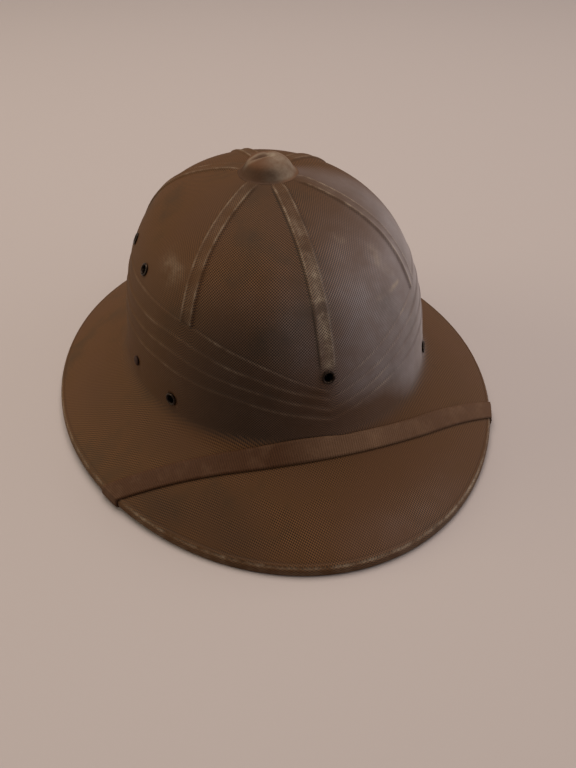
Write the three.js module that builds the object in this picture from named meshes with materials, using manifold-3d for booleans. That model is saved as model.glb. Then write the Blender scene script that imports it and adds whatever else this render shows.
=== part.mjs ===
import * as THREE from 'three';
import Module from 'manifold-3d';

// Sun helmet pressed in one piece from fibre and covered with cloth. Millimetres, +Z up.
// The front looks along -Y, the wearer's right is -X and Z = 0 is the table under the brim.
// Angles run round the helmet from the front: 0 is the front, +90 is +X, 180 is the back.

const wasm = await Module();
wasm.setup();

const RAD = Math.PI / 180;
const WALL = 2.4;
const GAP = 0.3;

// Brim edge: half-lengths from its widest line, trim off the corners, rise at the sides, level arcs.
const BRIM = { front: 160.3, back: 167.9, side: 133.4, mid: -3.8, trim: 0.0124, lift: 2.4, level: 30 };

// Crown: plan half-lengths at the scale 1, widest line at the foot and at the top.
const CROWN = { front: 97.8, back: 111.1, side: 90.4, midLow: -13.1, midTop: -1.6, low: 22, top: 141.4 };

// Crown outline: size of the plan oval against the height.
const CROWN_OUTLINE = [
  { z: 141.4, scale: 0 },
  { z: 140.7, scale: 0.08 },
  { z: 139.2, scale: 0.183 },
  { z: 135.4, scale: 0.351 },
  { z: 129.7, scale: 0.512 },
  { z: 121.1, scale: 0.662 },
  { z: 111.4, scale: 0.764 },
  { z: 100.8, scale: 0.836 },
  { z: 88.5, scale: 0.892 },
  { z: 75.7, scale: 0.93 },
  { z: 64.7, scale: 0.95 },
  { z: 45.9, scale: 0.974 },
  { z: 30.2, scale: 0.992 },
];

// Brim slope: share of the way out from the crown to the edge against the height.
const BRIM_SLOPE = [
  { out: 0, z: 41 },
  { out: 0.03, z: 38.2 },
  { out: 0.09, z: 34.6 },
  { out: 0.18, z: 31.2 },
  { out: 0.4, z: 24.2 },
  { out: 0.6, z: 18 },
  { out: 0.8, z: 11.6 },
  { out: 0.95, z: 6.7 },
  { out: 1, z: 5 },
];

// Turned-down lip of the brim: distance in from the edge against the height.
const LIP = [
  { inset: 0.9, z: 4.9 },
  { inset: 0.2, z: 4.2 },
  { inset: 0, z: 3.2 },
  { inset: 0, z: 0.6 },
  { inset: 0.6, z: 0 },
  { inset: 2, z: 0 },
  { inset: 2.6, z: 0.6 },
  { inset: 2.6, z: 2.2 },
];

// Moulded seams: cross-section, where each one stands, and the plain columns up to the next.
const SEAM = [
  { across: -4.2, raise: 0 },
  { across: -3, raise: 1.2 },
  { across: -1.7, raise: 0.7 },
  { across: 1.7, raise: 0.7 },
  { across: 3, raise: 1.2 },
  { across: 4.2, raise: 0 },
];
const SEAMS = [
  { at: 0, foot: 77.5, columns: 6 },
  { at: 51.5, foot: 0, columns: 9 },
  { at: 128.5, foot: 0, columns: 6 },
  { at: 180, foot: 0, columns: 6 },
  { at: 231.5, foot: 0, columns: 9 },
  { at: 308.5, foot: 0, columns: 6 },
];
const SEAM_END = { inner: 13.5, outer: 21.5, widest: 16, fade: 3 };

// Moulded folds of the cloth band: height at the sides and drop to the V at the front.
const FOLDS = [
  { side: 94.5, drop: 29 },
  { side: 85, drop: 25 },
  { side: 76, drop: 21.5 },
  { side: 66.5, drop: 17 },
];
const FOLD = { reach: 70, power: 1.85, raise: 0.45, rest: -0.3, step: 0.9, end: 0.62 };

// Rows of the shell: dome heights, shares of the wall down to the folds, brim and inside.
const DOME_ROWS = [140.9, 139.9, 138.6, 136.2, 132.6, 127.6];
const WALL_ROWS = [0.22, 0.44, 0.66, 0.86];
const BRIM_ROWS = [0, 0.03, 0.09, 0.18, 0.4, 0.65, 0.9];
const UNDER_ROWS = [0.92, 0.6, 0.3, 0.12, 0.05];
const INNER_ROWS = [46, 61, 76, 89, 98, 106, 116, 126, 134, 138.8, 140.9];

// Blackened eyelets: place on the crown and section as radius against height over the wall.
const EYELETS = [
  { name: 'front', at: 0, z: 73.2 },
  { name: 'right_low', at: -57.7, z: 47.5 },
  { name: 'right_fore', at: -81.5, z: 102 },
  { name: 'right_aft', at: -104, z: 102 },
  { name: 'left_low', at: 57.7, z: 47.5 },
  { name: 'left_fore', at: 96, z: 102 },
  { name: 'left_aft', at: 118.5, z: 102 },
];
const EYELET = { barrel: 2.7, sides: 12 };
const EYELET_SECTION = [
  { r: 2.3, h: -3.6 },
  { r: 3.5, h: -3.5 },
  { r: 3.5, h: -2.95 },
  { r: EYELET.barrel, h: -2.95 },
  { r: EYELET.barrel, h: 0.35 },
  { r: 3.55, h: 0.35 },
  { r: 3.4, h: 0.8 },
  { r: 2.8, h: 1 },
  { r: 2.3, h: 0.5 },
];

// Rivets that hold the strap ends inside the wall, with the strap under the inner head.
const RIVETS = [
  { name: 'right', at: -79.8, z: 51 },
  { name: 'left', at: 79.8, z: 51 },
];
const RIVET = { shank: 1.3, sides: 12 };
const RIVET_SECTION = [
  { r: 1.6, h: -4.95 },
  { r: 2.9, h: -4.45 },
  { r: 2.9, h: -4 },
  { r: RIVET.shank, h: -4 },
  { r: RIVET.shank, h: 0.4 },
  { r: 2.9, h: 0.4 },
  { r: 2.6, h: 1 },
  { r: 1.4, h: 1.4 },
];

// Vent button on top of the crown: section as radius against height over the crown's top.
const BUTTON = { y: -0.9, sides: 24 };
const BUTTON_SECTION = [
  { r: 4.6, h: -4.3 },
  { r: 4.6, h: 0.1 },
  { r: 9, h: -0.4 },
  { r: 14.1, h: -1.1 },
  { r: 14.4, h: -0.7 },
  { r: 13.6, h: 0.9 },
  { r: 12.7, h: 2.6 },
  { r: 11.4, h: 4.4 },
  { r: 9.2, h: 6.1 },
  { r: 6.2, h: 7.2 },
  { r: 3, h: 7.6 },
];
const DENT = { x: -4.4, y: 0.4, h: 8, long: 5, wide: 3, deep: 2, turn: -8, sides: 12 };

// Chin strap: plan line of its outer edge over the front, plan widths, thickness and anchors.
const STRAP = {
  middle: 6,
  front: 115.7,
  slope: 0.325,
  arc: 58,
  midWidth: 7.7,
  endWidth: 10.35,
  width: 10.4,
  thick: 1,
  gap: 0.3,
  anchor: 79.8,
  topSteps: 14,
  lipRows: 6,
};
const STRAP_UNDER = [0.85, 0.65, 0.45, 0.28, 0.16, 0.08, 0.03];
const STRAP_INSIDE = [43, 47.5, 56.5];

const BORE = { from: -8, to: 4 };
const ANGLE_STEP = 0.01;
const HEIGHT_STEP = 0.2;
const HALVINGS = 40;

// A smooth curve through a short table, looked up in one of its columns.
function lookup(table, column, value, x) {
  let k = 0;
  while (k < table.length - 2 && x > table[k + 1][column]) {
    k += 1;
  }
  const slope = (i) => {
    const a = table[Math.max(i - 1, 0)];
    const b = table[Math.min(i + 1, table.length - 1)];
    return (b[value] - a[value]) / (b[column] - a[column]);
  };
  const span = table[k + 1][column] - table[k][column];
  const u = (x - table[k][column]) / span;
  const blend = u * u * (3 - 2 * u);
  const lead = slope(k) * u * (1 - u) * (1 - u);
  const trail = slope(k + 1) * u * u * (u - 1);
  return THREE.MathUtils.lerp(table[k][value], table[k + 1][value], blend) + span * (lead + trail);
}

const spread = (z) => Math.sqrt(Math.max(CROWN.top - z, 0));
const OUTLINE = CROWN_OUTLINE.map((row) => ({ depth: spread(row.z), scale: row.scale }));
const crownScale = (z) => lookup(OUTLINE, 'depth', 'scale', spread(z));
const brimHeight = (out) => lookup(BRIM_SLOPE, 'out', 'z', out);

// A point of an oval with its own half-length to the front and to the back.
function oval(t, { front, back, side, mid }, trim) {
  const length = Math.cos(t) > 0 ? front : back;
  const size = 1 - trim * Math.sin(2 * t) ** 2;
  return new THREE.Vector3(side * size * Math.sin(t), mid - length * size * Math.cos(t), 0);
}

// The smooth crown without seams and folds.
function crownPoint(z, t) {
  const scale = crownScale(z);
  const mid = THREE.MathUtils.mapLinear(z, CROWN.low, CROWN.top, CROWN.midLow, CROWN.midTop);
  const plan = { front: CROWN.front * scale, back: CROWN.back * scale, side: CROWN.side * scale, mid };
  return oval(t, plan, 0).setZ(z);
}

// Rise of the brim: level at the front and back, where it stands, and lifted at the sides.
function lift(t) {
  return BRIM.lift * THREE.MathUtils.smoothstep(Math.abs(Math.sin(t)), Math.sin(BRIM.level * RAD), 1);
}

function edgePoint(inset, z, t) {
  const { front, back, side, mid } = BRIM;
  const plan = { front: front - inset, back: back - inset, side: side - inset, mid };
  return oval(t, plan, BRIM.trim).setZ(z + lift(t));
}

function brimPoint(out, t) {
  const point = crownPoint(BRIM_SLOPE[0].z, t).lerp(edgePoint(0, 0, t), out);
  return point.setZ(brimHeight(out) + out * lift(t));
}

// Point of a smooth surface moved along its outward normal; down is a step down the section.
function offSurface(surface, place, t, down, off) {
  const along = surface(place + down, t).sub(surface(place - down, t));
  const round = surface(place, t + ANGLE_STEP).sub(surface(place, t - ANGLE_STEP));
  const out = along.cross(round).normalize();
  return { point: surface(place, t).addScaledVector(out, off), out };
}
const onCrown = (z, t, off) => offSurface(crownPoint, z, t, -HEIGHT_STEP, off);
const onBrim = (out, t, off) => offSurface(brimPoint, out, t, ANGLE_STEP, off);

// Height of a fold line at an angle: level round the sides and back, falling to the front.
function foldHeight(fold, t) {
  const turn = Math.abs(Math.atan2(Math.sin(t), Math.cos(t))) / RAD;
  return fold.side - fold.drop * Math.max(1 - turn / FOLD.reach, 0) ** FOLD.power;
}

// Columns round the shell: six lines along every seam and plain ones between the seams.
function columnsOf(scaleAt) {
  const widest = SEAM_END.widest * RAD / SEAM[SEAM.length - 1].across;
  const edges = SEAMS.map((seam) => {
    const t = seam.at * RAD;
    const length = Math.cos(t) > 0 ? CROWN.front : CROWN.back;
    const rate = scaleAt(t) * Math.hypot(CROWN.side * Math.cos(t), length * Math.sin(t));
    return SEAM.map((line) => t + line.across * Math.min(1 / rate, widest));
  });
  const columns = [];
  SEAMS.forEach((seam, k) => {
    edges[k].forEach((t, line) => columns.push({ t, seam, raise: SEAM[line].raise }));
    const from = edges[k][SEAM.length - 1];
    const turn = k === SEAMS.length - 1 ? 2 * Math.PI : 0;
    const step = (edges[(k + 1) % SEAMS.length][0] + turn - from) / (seam.columns + 1);
    for (let i = 1; i <= seam.columns; i += 1) {
      columns.push({ t: from + step * i, seam, raise: 0 });
    }
  });
  return columns;
}

// Relief of a seam: it dies out by the button and at its foot.
function seamRaise(column, z) {
  const radius = crownScale(z) * CROWN.side;
  const top = THREE.MathUtils.smoothstep(radius, SEAM_END.inner, SEAM_END.outer);
  const foot = THREE.MathUtils.smoothstep(z, column.seam.foot, column.seam.foot + SEAM_END.fade);
  return column.raise * top * foot;
}

// One ring of the wall at a height that may change with the angle, moved off the smooth wall.
function crownRing(heightAt, offAt) {
  return columnsOf((t) => crownScale(heightAt(t))).map((column) => {
    const z = heightAt(column.t);
    return onCrown(z, column.t, offAt(column, z)).point;
  });
}

// All rings of the shell: down the outside, round the lip and up the inside.
function shellRings() {
  const columns = columnsOf(() => 1);
  const domeFoot = DOME_ROWS[DOME_ROWS.length - 1];
  const lastFold = FOLDS[FOLDS.length - 1];
  const bandTop = (t) => foldHeight(FOLDS[0], t) + FOLD.step;
  const bandFoot = (t) => THREE.MathUtils.lerp(foldHeight(lastFold, t), BRIM_SLOPE[0].z, FOLD.end);
  const dome = DOME_ROWS.map((z) => crownRing(() => z, seamRaise));
  const wall = WALL_ROWS.map((share) => (
    crownRing((t) => THREE.MathUtils.lerp(domeFoot, bandTop(t), share), seamRaise)
  ));
  const folds = FOLDS.flatMap((fold, k) => [
    crownRing((t) => foldHeight(fold, t) + FOLD.step, k === 0 ? seamRaise : () => FOLD.rest),
    crownRing((t) => foldHeight(fold, t), () => FOLD.raise),
  ]);
  const foot = crownRing(bandFoot, () => FOLD.rest);
  const brim = BRIM_ROWS.map((out) => columns.map(({ t }) => brimPoint(out, t)));
  const lip = LIP.map(({ inset, z }) => columns.map(({ t }) => edgePoint(inset, z, t)));
  const under = UNDER_ROWS.map((out) => columns.map(({ t }) => onBrim(out, t, -WALL).point));
  const inner = INNER_ROWS.map((z) => crownRing(() => z, () => -WALL));
  return [...dome, ...wall, ...folds, foot, ...brim, ...lip, ...under, ...inner];
}

// Solid over rings of points: joined end to end, or closed by a fan at both ends.
function skin(rings, capped) {
  const count = rings[0].length;
  const points = rings.flat();
  const index = [];
  const bands = capped ? rings.length - 1 : rings.length;
  for (let i = 0; i < bands; i += 1) {
    const here = i * count;
    const next = ((i + 1) % rings.length) * count;
    for (let j = 0; j < count; j += 1) {
      const k = (j + 1) % count;
      index.push(here + j, next + j, next + k, here + j, next + k, here + k);
    }
  }
  if (capped) {
    const start = (rings.length - 1) * count;
    const centre = (ring) => ring.reduce((sum, p) => sum.add(p), new THREE.Vector3()).divideScalar(count);
    const first = points.push(centre(rings[0])) - 1;
    const last = points.push(centre(rings[rings.length - 1])) - 1;
    for (let j = 0; j < count; j += 1) {
      const k = (j + 1) % count;
      index.push(first, j, k, last, start + k, start + j);
    }
  }
  const vertProperties = new Float32Array(points.flatMap((p) => p.toArray()));
  return new wasm.Manifold(new wasm.Mesh({ numProp: 3, vertProperties, triVerts: new Uint32Array(index) }));
}

// Rings of a turned piece in a frame whose Z axis is the turning axis.
function turned(section, sides, frame) {
  return section.map(({ r, h }) => Array.from({ length: sides }, (_, k) => {
    const a = -2 * Math.PI * k / sides;
    return new THREE.Vector3(r * Math.cos(a), r * Math.sin(a), h).applyMatrix4(frame);
  }));
}

// Frame on the crown wall: its Z axis stands out of the wall.
function wallFrame({ at, z }) {
  const { point, out } = onCrown(z, at * RAD, 0);
  const along = new THREE.Vector3(0, 0, 1).cross(out).normalize();
  return new THREE.Matrix4().makeBasis(along, out.clone().cross(along), out).setPosition(point);
}

// A plain round cutter through the wall for a barrel or a shank.
function bore(place, radius, sides) {
  const section = [{ r: radius, h: BORE.from }, { r: radius, h: BORE.to }];
  return skin(turned(section, sides, wallFrame(place)), true);
}

// Where a falling function passes zero, by halving.
function root(low, high, value) {
  let from = low;
  let to = high;
  for (let i = 0; i < HALVINGS; i += 1) {
    const middle = (from + to) / 2;
    if (value(middle) > 0) {
      from = middle;
    } else {
      to = middle;
    }
  }
  return (from + to) / 2;
}

// Plan line of one strap edge across the front: share 1 lies by the crown, 0 by the brim edge.
function strapLine(x, share) {
  const run = Math.abs(x - STRAP.middle);
  const bend = run < STRAP.arc ? run * run / (2 * STRAP.arc) : run - STRAP.arc / 2;
  const width = THREE.MathUtils.lerp(STRAP.midWidth, STRAP.endWidth, Math.min(run / STRAP.arc, 1));
  return STRAP.slope * bend - STRAP.front + share * width;
}

// Angle at which a strap edge reaches the brim edge; hand is +1 on the left and -1 on the right.
function strapTurn(share, hand) {
  return hand * root(0, Math.PI / 2, (t) => {
    const point = edgePoint(0, 0, hand * t);
    return strapLine(point.x, share) - point.y;
  });
}

// Point of a strap edge on the brim at an angle.
function strapOnBrim(t, share) {
  const place = root(0, 1, (out) => {
    const point = brimPoint(out, t);
    return point.y - strapLine(point.x, share);
  });
  return brimPoint(place, t);
}

// Two points of a surface at equal distances either side of an angle.
function across(surface, t, half) {
  const rate = surface(t + ANGLE_STEP).distanceTo(surface(t - ANGLE_STEP)) / (2 * ANGLE_STEP);
  return [surface(t + half / rate), surface(t - half / rate)];
}

// Half of the strap from the middle of the front to its end inside, as pairs of edge points.
function strapHalf(hand) {
  const turns = [strapTurn(1, hand), strapTurn(0, hand)];
  const middle = (turns[0] + turns[1]) / 2;
  const anchor = hand * STRAP.anchor * RAD;
  const top = Array.from({ length: STRAP.topSteps }, (_, k) => {
    const share = Math.sin(Math.PI / 2 * k / STRAP.topSteps);
    return [strapOnBrim(turns[0] * share, 1), strapOnBrim(turns[1] * share, 0)];
  });
  const lip = LIP.slice(0, STRAP.lipRows).map(({ inset, z }) => turns.map((t) => edgePoint(inset, z, t)));
  const edgeHalf = lip[0][0].distanceTo(lip[0][1]) / 2;
  const under = STRAP_UNDER.map((out) => {
    const t = THREE.MathUtils.lerp(anchor, middle, out);
    const half = THREE.MathUtils.lerp(STRAP.width / 2, edgeHalf, Math.sqrt(out));
    return across((angle) => onBrim(out, angle, -WALL).point, t, hand * half);
  });
  const inside = STRAP_INSIDE.map((z) => (
    across((angle) => onCrown(z, angle, -WALL).point, anchor, hand * STRAP.width / 2)
  ));
  return [...top, ...lip, ...under, ...inside];
}

// Rings of the whole strap: both halves, thickened away from the shell.
function strapRings() {
  const pairs = [...strapHalf(-1).slice(1).reverse(), ...strapHalf(1)];
  const middles = pairs.map(([a, b]) => a.clone().add(b).multiplyScalar(0.5));
  const far = STRAP.gap + STRAP.thick;
  return pairs.map(([a, b], k) => {
    const before = middles[Math.max(k - 1, 0)];
    const after = middles[Math.min(k + 1, middles.length - 1)];
    const out = after.clone().sub(before).cross(a.clone().sub(b)).normalize();
    const corners = [[a, STRAP.gap], [b, STRAP.gap], [b, far], [a, far]];
    return corners.map(([point, off]) => point.clone().addScaledVector(out, off));
  });
}

// The dent worn into the top of the button.
function dentCutter() {
  const frame = new THREE.Matrix4().makeRotationZ(DENT.turn * RAD);
  frame.setPosition(DENT.x, BUTTON.y + DENT.y, CROWN.top + DENT.h);
  const rings = Array.from({ length: DENT.sides / 2 - 1 }, (_, k) => {
    const a = Math.PI * (k + 1) / (DENT.sides / 2);
    return { r: Math.sin(a), h: -Math.cos(a) };
  });
  frame.scale(new THREE.Vector3(DENT.long, DENT.wide, DENT.deep));
  return skin(turned(rings, DENT.sides, frame), true);
}

const FINISH = {
  cloth: { color: '#5f4733', roughness: 0.82, metalness: 0 },
  webbing: { color: '#64492f', roughness: 0.85, metalness: 0 },
  button: { color: '#8a745a', roughness: 0.8, metalness: 0 },
  eyelet: { color: '#211d1a', roughness: 0.45, metalness: 0.7 },
  rivet: { color: '#4a2c20', roughness: 0.5, metalness: 0.7 },
};

const helmet = new THREE.Group();
helmet.name = 'sun_helmet';

function piece(name, solid, finish) {
  const { vertProperties, triVerts } = solid.getMesh();
  const geometry = new THREE.BufferGeometry();
  geometry.setAttribute('position', new THREE.Float32BufferAttribute(vertProperties, 3));
  geometry.setIndex(new THREE.Uint32BufferAttribute(triVerts, 1));
  geometry.computeVertexNormals();
  const mesh = new THREE.Mesh(geometry, new THREE.MeshStandardMaterial(finish));
  mesh.name = name;
  helmet.add(mesh);
}

const eyeletBores = EYELETS.map((place) => bore(place, EYELET.barrel + GAP, EYELET.sides));
const rivetBores = RIVETS.map((place) => bore(place, RIVET.shank + GAP, RIVET.sides));
const bored = (solid, cutters) => cutters.reduce((body, cutter) => body.subtract(cutter), solid);

piece('shell', bored(skin(shellRings(), false), [...eyeletBores, ...rivetBores]), FINISH.cloth);
piece('chin_strap', bored(skin(strapRings(), true), rivetBores), FINISH.webbing);

const buttonFrame = new THREE.Matrix4().makeTranslation(0, BUTTON.y, CROWN.top);
const button = skin(turned(BUTTON_SECTION, BUTTON.sides, buttonFrame), true);
piece('crown_button', button.subtract(dentCutter()), FINISH.button);

EYELETS.forEach((place) => {
  const rings = turned(EYELET_SECTION, EYELET.sides, wallFrame(place));
  piece(`eyelet_${place.name}`, skin(rings, false), FINISH.eyelet);
});

RIVETS.forEach((place) => {
  const rings = turned(RIVET_SECTION, RIVET.sides, wallFrame(place));
  piece(`strap_rivet_${place.name}`, skin(rings, true), FINISH.rivet);
});

export default helmet;
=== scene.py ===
"""Looks of a worn, cloth-covered sun helmet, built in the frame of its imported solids.

Sizes are in millimetres and become metres when a mesh is made. The helmet's front looks along -Y,
+Z is up and Z = 0 is the surface that the brim stands on. Angles run round the helmet in degrees:
0 is the front, +90 is +X and 180 is the back.
"""
import logging
import math
from collections.abc import Callable, Mapping, Sequence
from dataclasses import dataclass, field
from enum import Enum

import bpy
import numpy as np
from mathutils import Matrix, Vector


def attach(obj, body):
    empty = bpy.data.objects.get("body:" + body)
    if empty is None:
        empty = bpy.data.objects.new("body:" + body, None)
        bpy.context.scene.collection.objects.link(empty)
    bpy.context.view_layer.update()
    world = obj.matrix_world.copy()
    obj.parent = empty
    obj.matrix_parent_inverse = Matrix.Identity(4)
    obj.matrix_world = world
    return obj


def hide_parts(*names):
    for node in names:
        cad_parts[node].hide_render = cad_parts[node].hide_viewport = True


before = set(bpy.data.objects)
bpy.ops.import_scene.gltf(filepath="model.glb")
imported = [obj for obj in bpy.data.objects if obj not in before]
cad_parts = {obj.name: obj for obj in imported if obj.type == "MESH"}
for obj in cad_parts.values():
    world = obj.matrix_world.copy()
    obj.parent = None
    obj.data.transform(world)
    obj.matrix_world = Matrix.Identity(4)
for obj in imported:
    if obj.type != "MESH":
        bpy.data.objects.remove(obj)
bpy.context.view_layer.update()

LOG = logging.getLogger("sun_helmet")
MM = 0.001
BODY = "root"
CLOTH_UV = "cloth"
# The grime mark holds dirt and painted shade, the wear mark rubbing and painted light, and the fade mark
# fading, dust and painted sheen.
WEAR_AND_LIGHT, GRIME_AND_SHADE, WEAVE, FADE_AND_SHEEN = "wear", "grime", "weave", "fade"
FACING, BORE, RUN, ACROSS = "facing", "bore", "run", "across"
RIB_PITCH = 1.3

Values = float | np.ndarray
Tree = bpy.types.NodeTree
Node = bpy.types.Node
Socket = bpy.types.NodeSocket
Piece = bpy.types.Object


class Region(Enum):
    """Stretch of the shell that a row of points belongs to."""

    CROWN = "crown"
    BRIM = "brim"
    LIP = "lip"
    UNDER = "under"
    INSIDE = "inside"


class Side(Enum):
    """Edge of the strap, by its share of the width: towards the crown or towards the brim's edge."""

    CROWN = 1
    BRIM = 0


class Hand(Enum):
    """Half of the strap: on the wearer's left, towards +X, or on the right."""

    LEFT = 1
    RIGHT = -1


def linear(code: str) -> tuple[float, float, float, float]:
    """Turn an sRGB hex colour into a linear one.

    Args:
        code: Colour such as "#5f4733".

    Returns:
        Linear red, green, blue and a full alpha.
    """
    parts = [int(code[i:i + 2], 16) / 255 for i in (1, 3, 5)]
    red, green, blue = (c / 12.92 if c <= 0.04045 else ((c + 0.055) / 1.055) ** 2.4 for c in parts)
    return red, green, blue, 1.0


def add(tree: Tree, kind: str, inputs: Mapping | None = None, **settings) -> Node:
    """Add a node, set its properties, and fill or link its inputs.

    Args:
        tree: Node tree that takes the node.
        kind: Node type, such as "ShaderNodeMath".
        inputs: Input name or number to a value, a socket, or a node whose first output is linked.
        **settings: Properties of the node.

    Returns:
        The new node.
    """
    node = tree.nodes.new(kind)
    for name, value in settings.items():
        setattr(node, name, value)
    for key, value in (inputs or {}).items():
        if isinstance(key, int):
            socket = node.inputs[key]
        else:
            # Some nodes have several sockets of one name, of which only those in use are enabled.
            socket = next(each for each in node.inputs if each.enabled and each.name == key)
        if isinstance(value, Node):
            value = next(each for each in value.outputs if each.enabled)
        if isinstance(value, Socket):
            tree.links.new(value, socket)
        else:
            socket.default_value = value
    return node


def smooth_table(rows: Sequence[tuple[float, float]], x: np.ndarray) -> np.ndarray:
    """Look values up on the smooth curve through a short table.

    Args:
        rows: Pairs of place and value, with the places rising.
        x: Places to look up.

    Returns:
        The curve's values at those places.
    """
    places, values = np.array(rows, float).T
    before = np.maximum(np.arange(len(rows)) - 1, 0)
    after = np.minimum(np.arange(len(rows)) + 1, len(rows) - 1)
    slopes = (values[after] - values[before]) / (places[after] - places[before])
    k = np.searchsorted(places[1:-1], x, side="left")
    span = places[k + 1] - places[k]
    u = (x - places[k]) / span
    blend = u * u * (3 - 2 * u)
    bow = slopes[k] * u * (1 - u) ** 2 + slopes[k + 1] * u * u * (u - 1)
    return values[k] + (values[k + 1] - values[k]) * blend + span * bow


def smooth_step(x: Values, low: Values, high: Values) -> Values:
    """Rise smoothly from 0 at low to 1 at high."""
    u = np.clip((x - low) / (high - low), 0, 1)
    return u * u * (3 - 2 * u)


def bump(x: Values, width: Values) -> Values:
    """Give a soft hump of the stated width round zero."""
    return np.exp(-(x / width) ** 2)


def turn_of(t: np.ndarray) -> np.ndarray:
    """Give angles in radians as degrees from the front, below zero towards -X."""
    return np.degrees(np.arctan2(np.sin(t), np.cos(t)))


def stack(x: Values, y: Values, z: Values) -> np.ndarray:
    """Put coordinates together as points."""
    return np.stack(np.broadcast_arrays(x, y, z), axis=-1)


def unit(vectors: np.ndarray) -> np.ndarray:
    """Scale vectors to the length 1."""
    return vectors / np.linalg.norm(vectors, axis=-1, keepdims=True)


def direction(azimuth: float, elevation: float) -> Vector:
    """Give the way out from the helmet at angles in radians; azimuth 0 is the front, a right angle +X."""
    flat = math.cos(elevation)
    return Vector((math.sin(azimuth) * flat, -math.cos(azimuth) * flat, math.sin(elevation)))


def off_surface(
    surface: Callable[[np.ndarray, np.ndarray], np.ndarray],
    place: np.ndarray,
    t: np.ndarray,
    down: float,
    off: Values,
) -> tuple[np.ndarray, np.ndarray]:
    """Move points of a surface along its outward normal.

    Args:
        surface: Function of the place down the section and the angle.
        place: Places down the section.
        t: Angles in radians.
        down: Small step down the section.
        off: Distances to move outwards.

    Returns:
        The moved points and the normals.
    """
    step = 0.01
    along = surface(place + down, t) - surface(place - down, t)
    around = surface(place, t + step) - surface(place, t - step)
    out = unit(np.cross(along, around))
    return surface(place, t) + out * np.asarray(off)[..., None], out


def plain_mesh(name: str, points: np.ndarray, faces: Sequence[Sequence[int]]) -> Piece:
    """Make a smooth-shaded mesh object at the origin.

    Args:
        name: Name of the piece.
        points: Points in millimetres.
        faces: Corner numbers of each face.

    Returns:
        The linked object.
    """
    mesh = bpy.data.meshes.new(name)
    mesh.from_pydata((np.asarray(points, float).reshape(-1, 3) * MM).tolist(), [], faces)
    mesh.update()
    mesh.shade_smooth()
    piece = bpy.data.objects.new(name, mesh)
    bpy.context.scene.collection.objects.link(piece)
    return piece


def give_attribute(piece: Piece, name: str, kind: str, values: Sequence | np.ndarray) -> None:
    """Store one value for each point of a mesh.

    Args:
        piece: Object whose mesh takes the values.
        name: Attribute name.
        kind: "FLOAT" or "FLOAT_VECTOR".
        values: Values in the order of the points.
    """
    data = piece.data.attributes.new(name, kind, "POINT").data
    data.foreach_set("value" if kind == "FLOAT" else "vector", np.asarray(values, np.float32).ravel())


def ring_faces(rows: int, columns: int, joined: bool, around: bool = True) -> np.ndarray:
    """List the quads between rows of points.

    Args:
        rows: Number of rows.
        columns: Points in each row.
        joined: Whether the last row meets the first one.
        around: Whether each row closes on itself.

    Returns:
        Corner numbers, four for each quad.
    """
    i, j = np.meshgrid(
        np.arange(rows if joined else rows - 1),
        np.arange(columns if around else columns - 1),
        indexing="ij",
    )
    below, beside = (i + 1) % rows, (j + 1) % columns
    corners = (i * columns + j, below * columns + j, below * columns + beside, i * columns + beside)
    return np.stack(corners, axis=-1).reshape(-1, 4)


def end_faces(rows: int, columns: int) -> list[list[int]]:
    """List the two faces that close the first and the last of a stack of rings."""
    last = (rows - 1) * columns
    return [list(range(columns)), [last + k for k in reversed(range(columns))]]


def new_tree(name: str, sizes: Mapping[str, str]) -> tuple[Tree, Mapping[str, Socket]]:
    """Start a Geometry Nodes tree with named inputs.

    Args:
        name: Name of the tree.
        sizes: Input name to socket type.

    Returns:
        The tree and its inputs by name.
    """
    tree = bpy.data.node_groups.new(name, "GeometryNodeTree")
    tree.interface.new_socket("Geometry", in_out="INPUT", socket_type="NodeSocketGeometry")
    for label, kind in sizes.items():
        tree.interface.new_socket(label, in_out="INPUT", socket_type=kind)
    tree.interface.new_socket("Geometry", in_out="OUTPUT", socket_type="NodeSocketGeometry")
    return tree, add(tree, "NodeGroupInput").outputs


def close_tree(tree: Tree, geometry: Node, finish: Socket) -> None:
    """End a tree: realize its instances and set the material.

    Args:
        tree: Geometry Nodes tree.
        geometry: Node that gives the geometry.
        finish: Input that holds the material.
    """
    real = add(tree, "GeometryNodeRealizeInstances", {"Geometry": geometry})
    dressed = add(tree, "GeometryNodeSetMaterial", {"Geometry": real, "Material": finish})
    add(tree, "NodeGroupOutput", {"Geometry": dressed})


def run_tree(piece: Piece, tree: Tree, values: Mapping[str, object]) -> None:
    """Run a tree on a piece and keep the result as its plain mesh.

    Args:
        piece: Object that carries the modifier while the tree runs.
        tree: Geometry Nodes tree.
        values: Input name to value.
    """
    modifier = piece.modifiers.new(tree.name, "NODES")
    modifier.node_group = tree
    for item in tree.interface.items_tree:
        if item.in_out == "INPUT" and item.name in values:
            modifier[item.identifier] = values[item.name]
    bpy.context.view_layer.update()
    graph = bpy.context.evaluated_depsgraph_get()
    made = bpy.data.meshes.new_from_object(piece.evaluated_get(graph), depsgraph=graph)
    piece.modifiers.remove(modifier)
    made.name = piece.name
    piece.data = made
    piece.data.shade_smooth()


def hand_over(piece: Piece, slot: str, nodes: Sequence[str]) -> None:
    """Let a finished piece ride and stand for its solids.

    Args:
        piece: The finished piece.
        slot: Name of its finish slot; not used.
        nodes: Solids that it stands for.
    """
    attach(piece, BODY)
    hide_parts(*nodes)
    LOG.info("%s: %d faces, stands for %s", piece.name, len(piece.data.polygons), ", ".join(nodes))


@dataclass(frozen=True)
class Look:
    """What a finish gives its shader: a ground colour, shades laid over it by share, and other inputs."""

    ground: str
    layers: tuple[tuple[Node | Socket, str], ...]
    inputs: Mapping[str, object]


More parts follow.
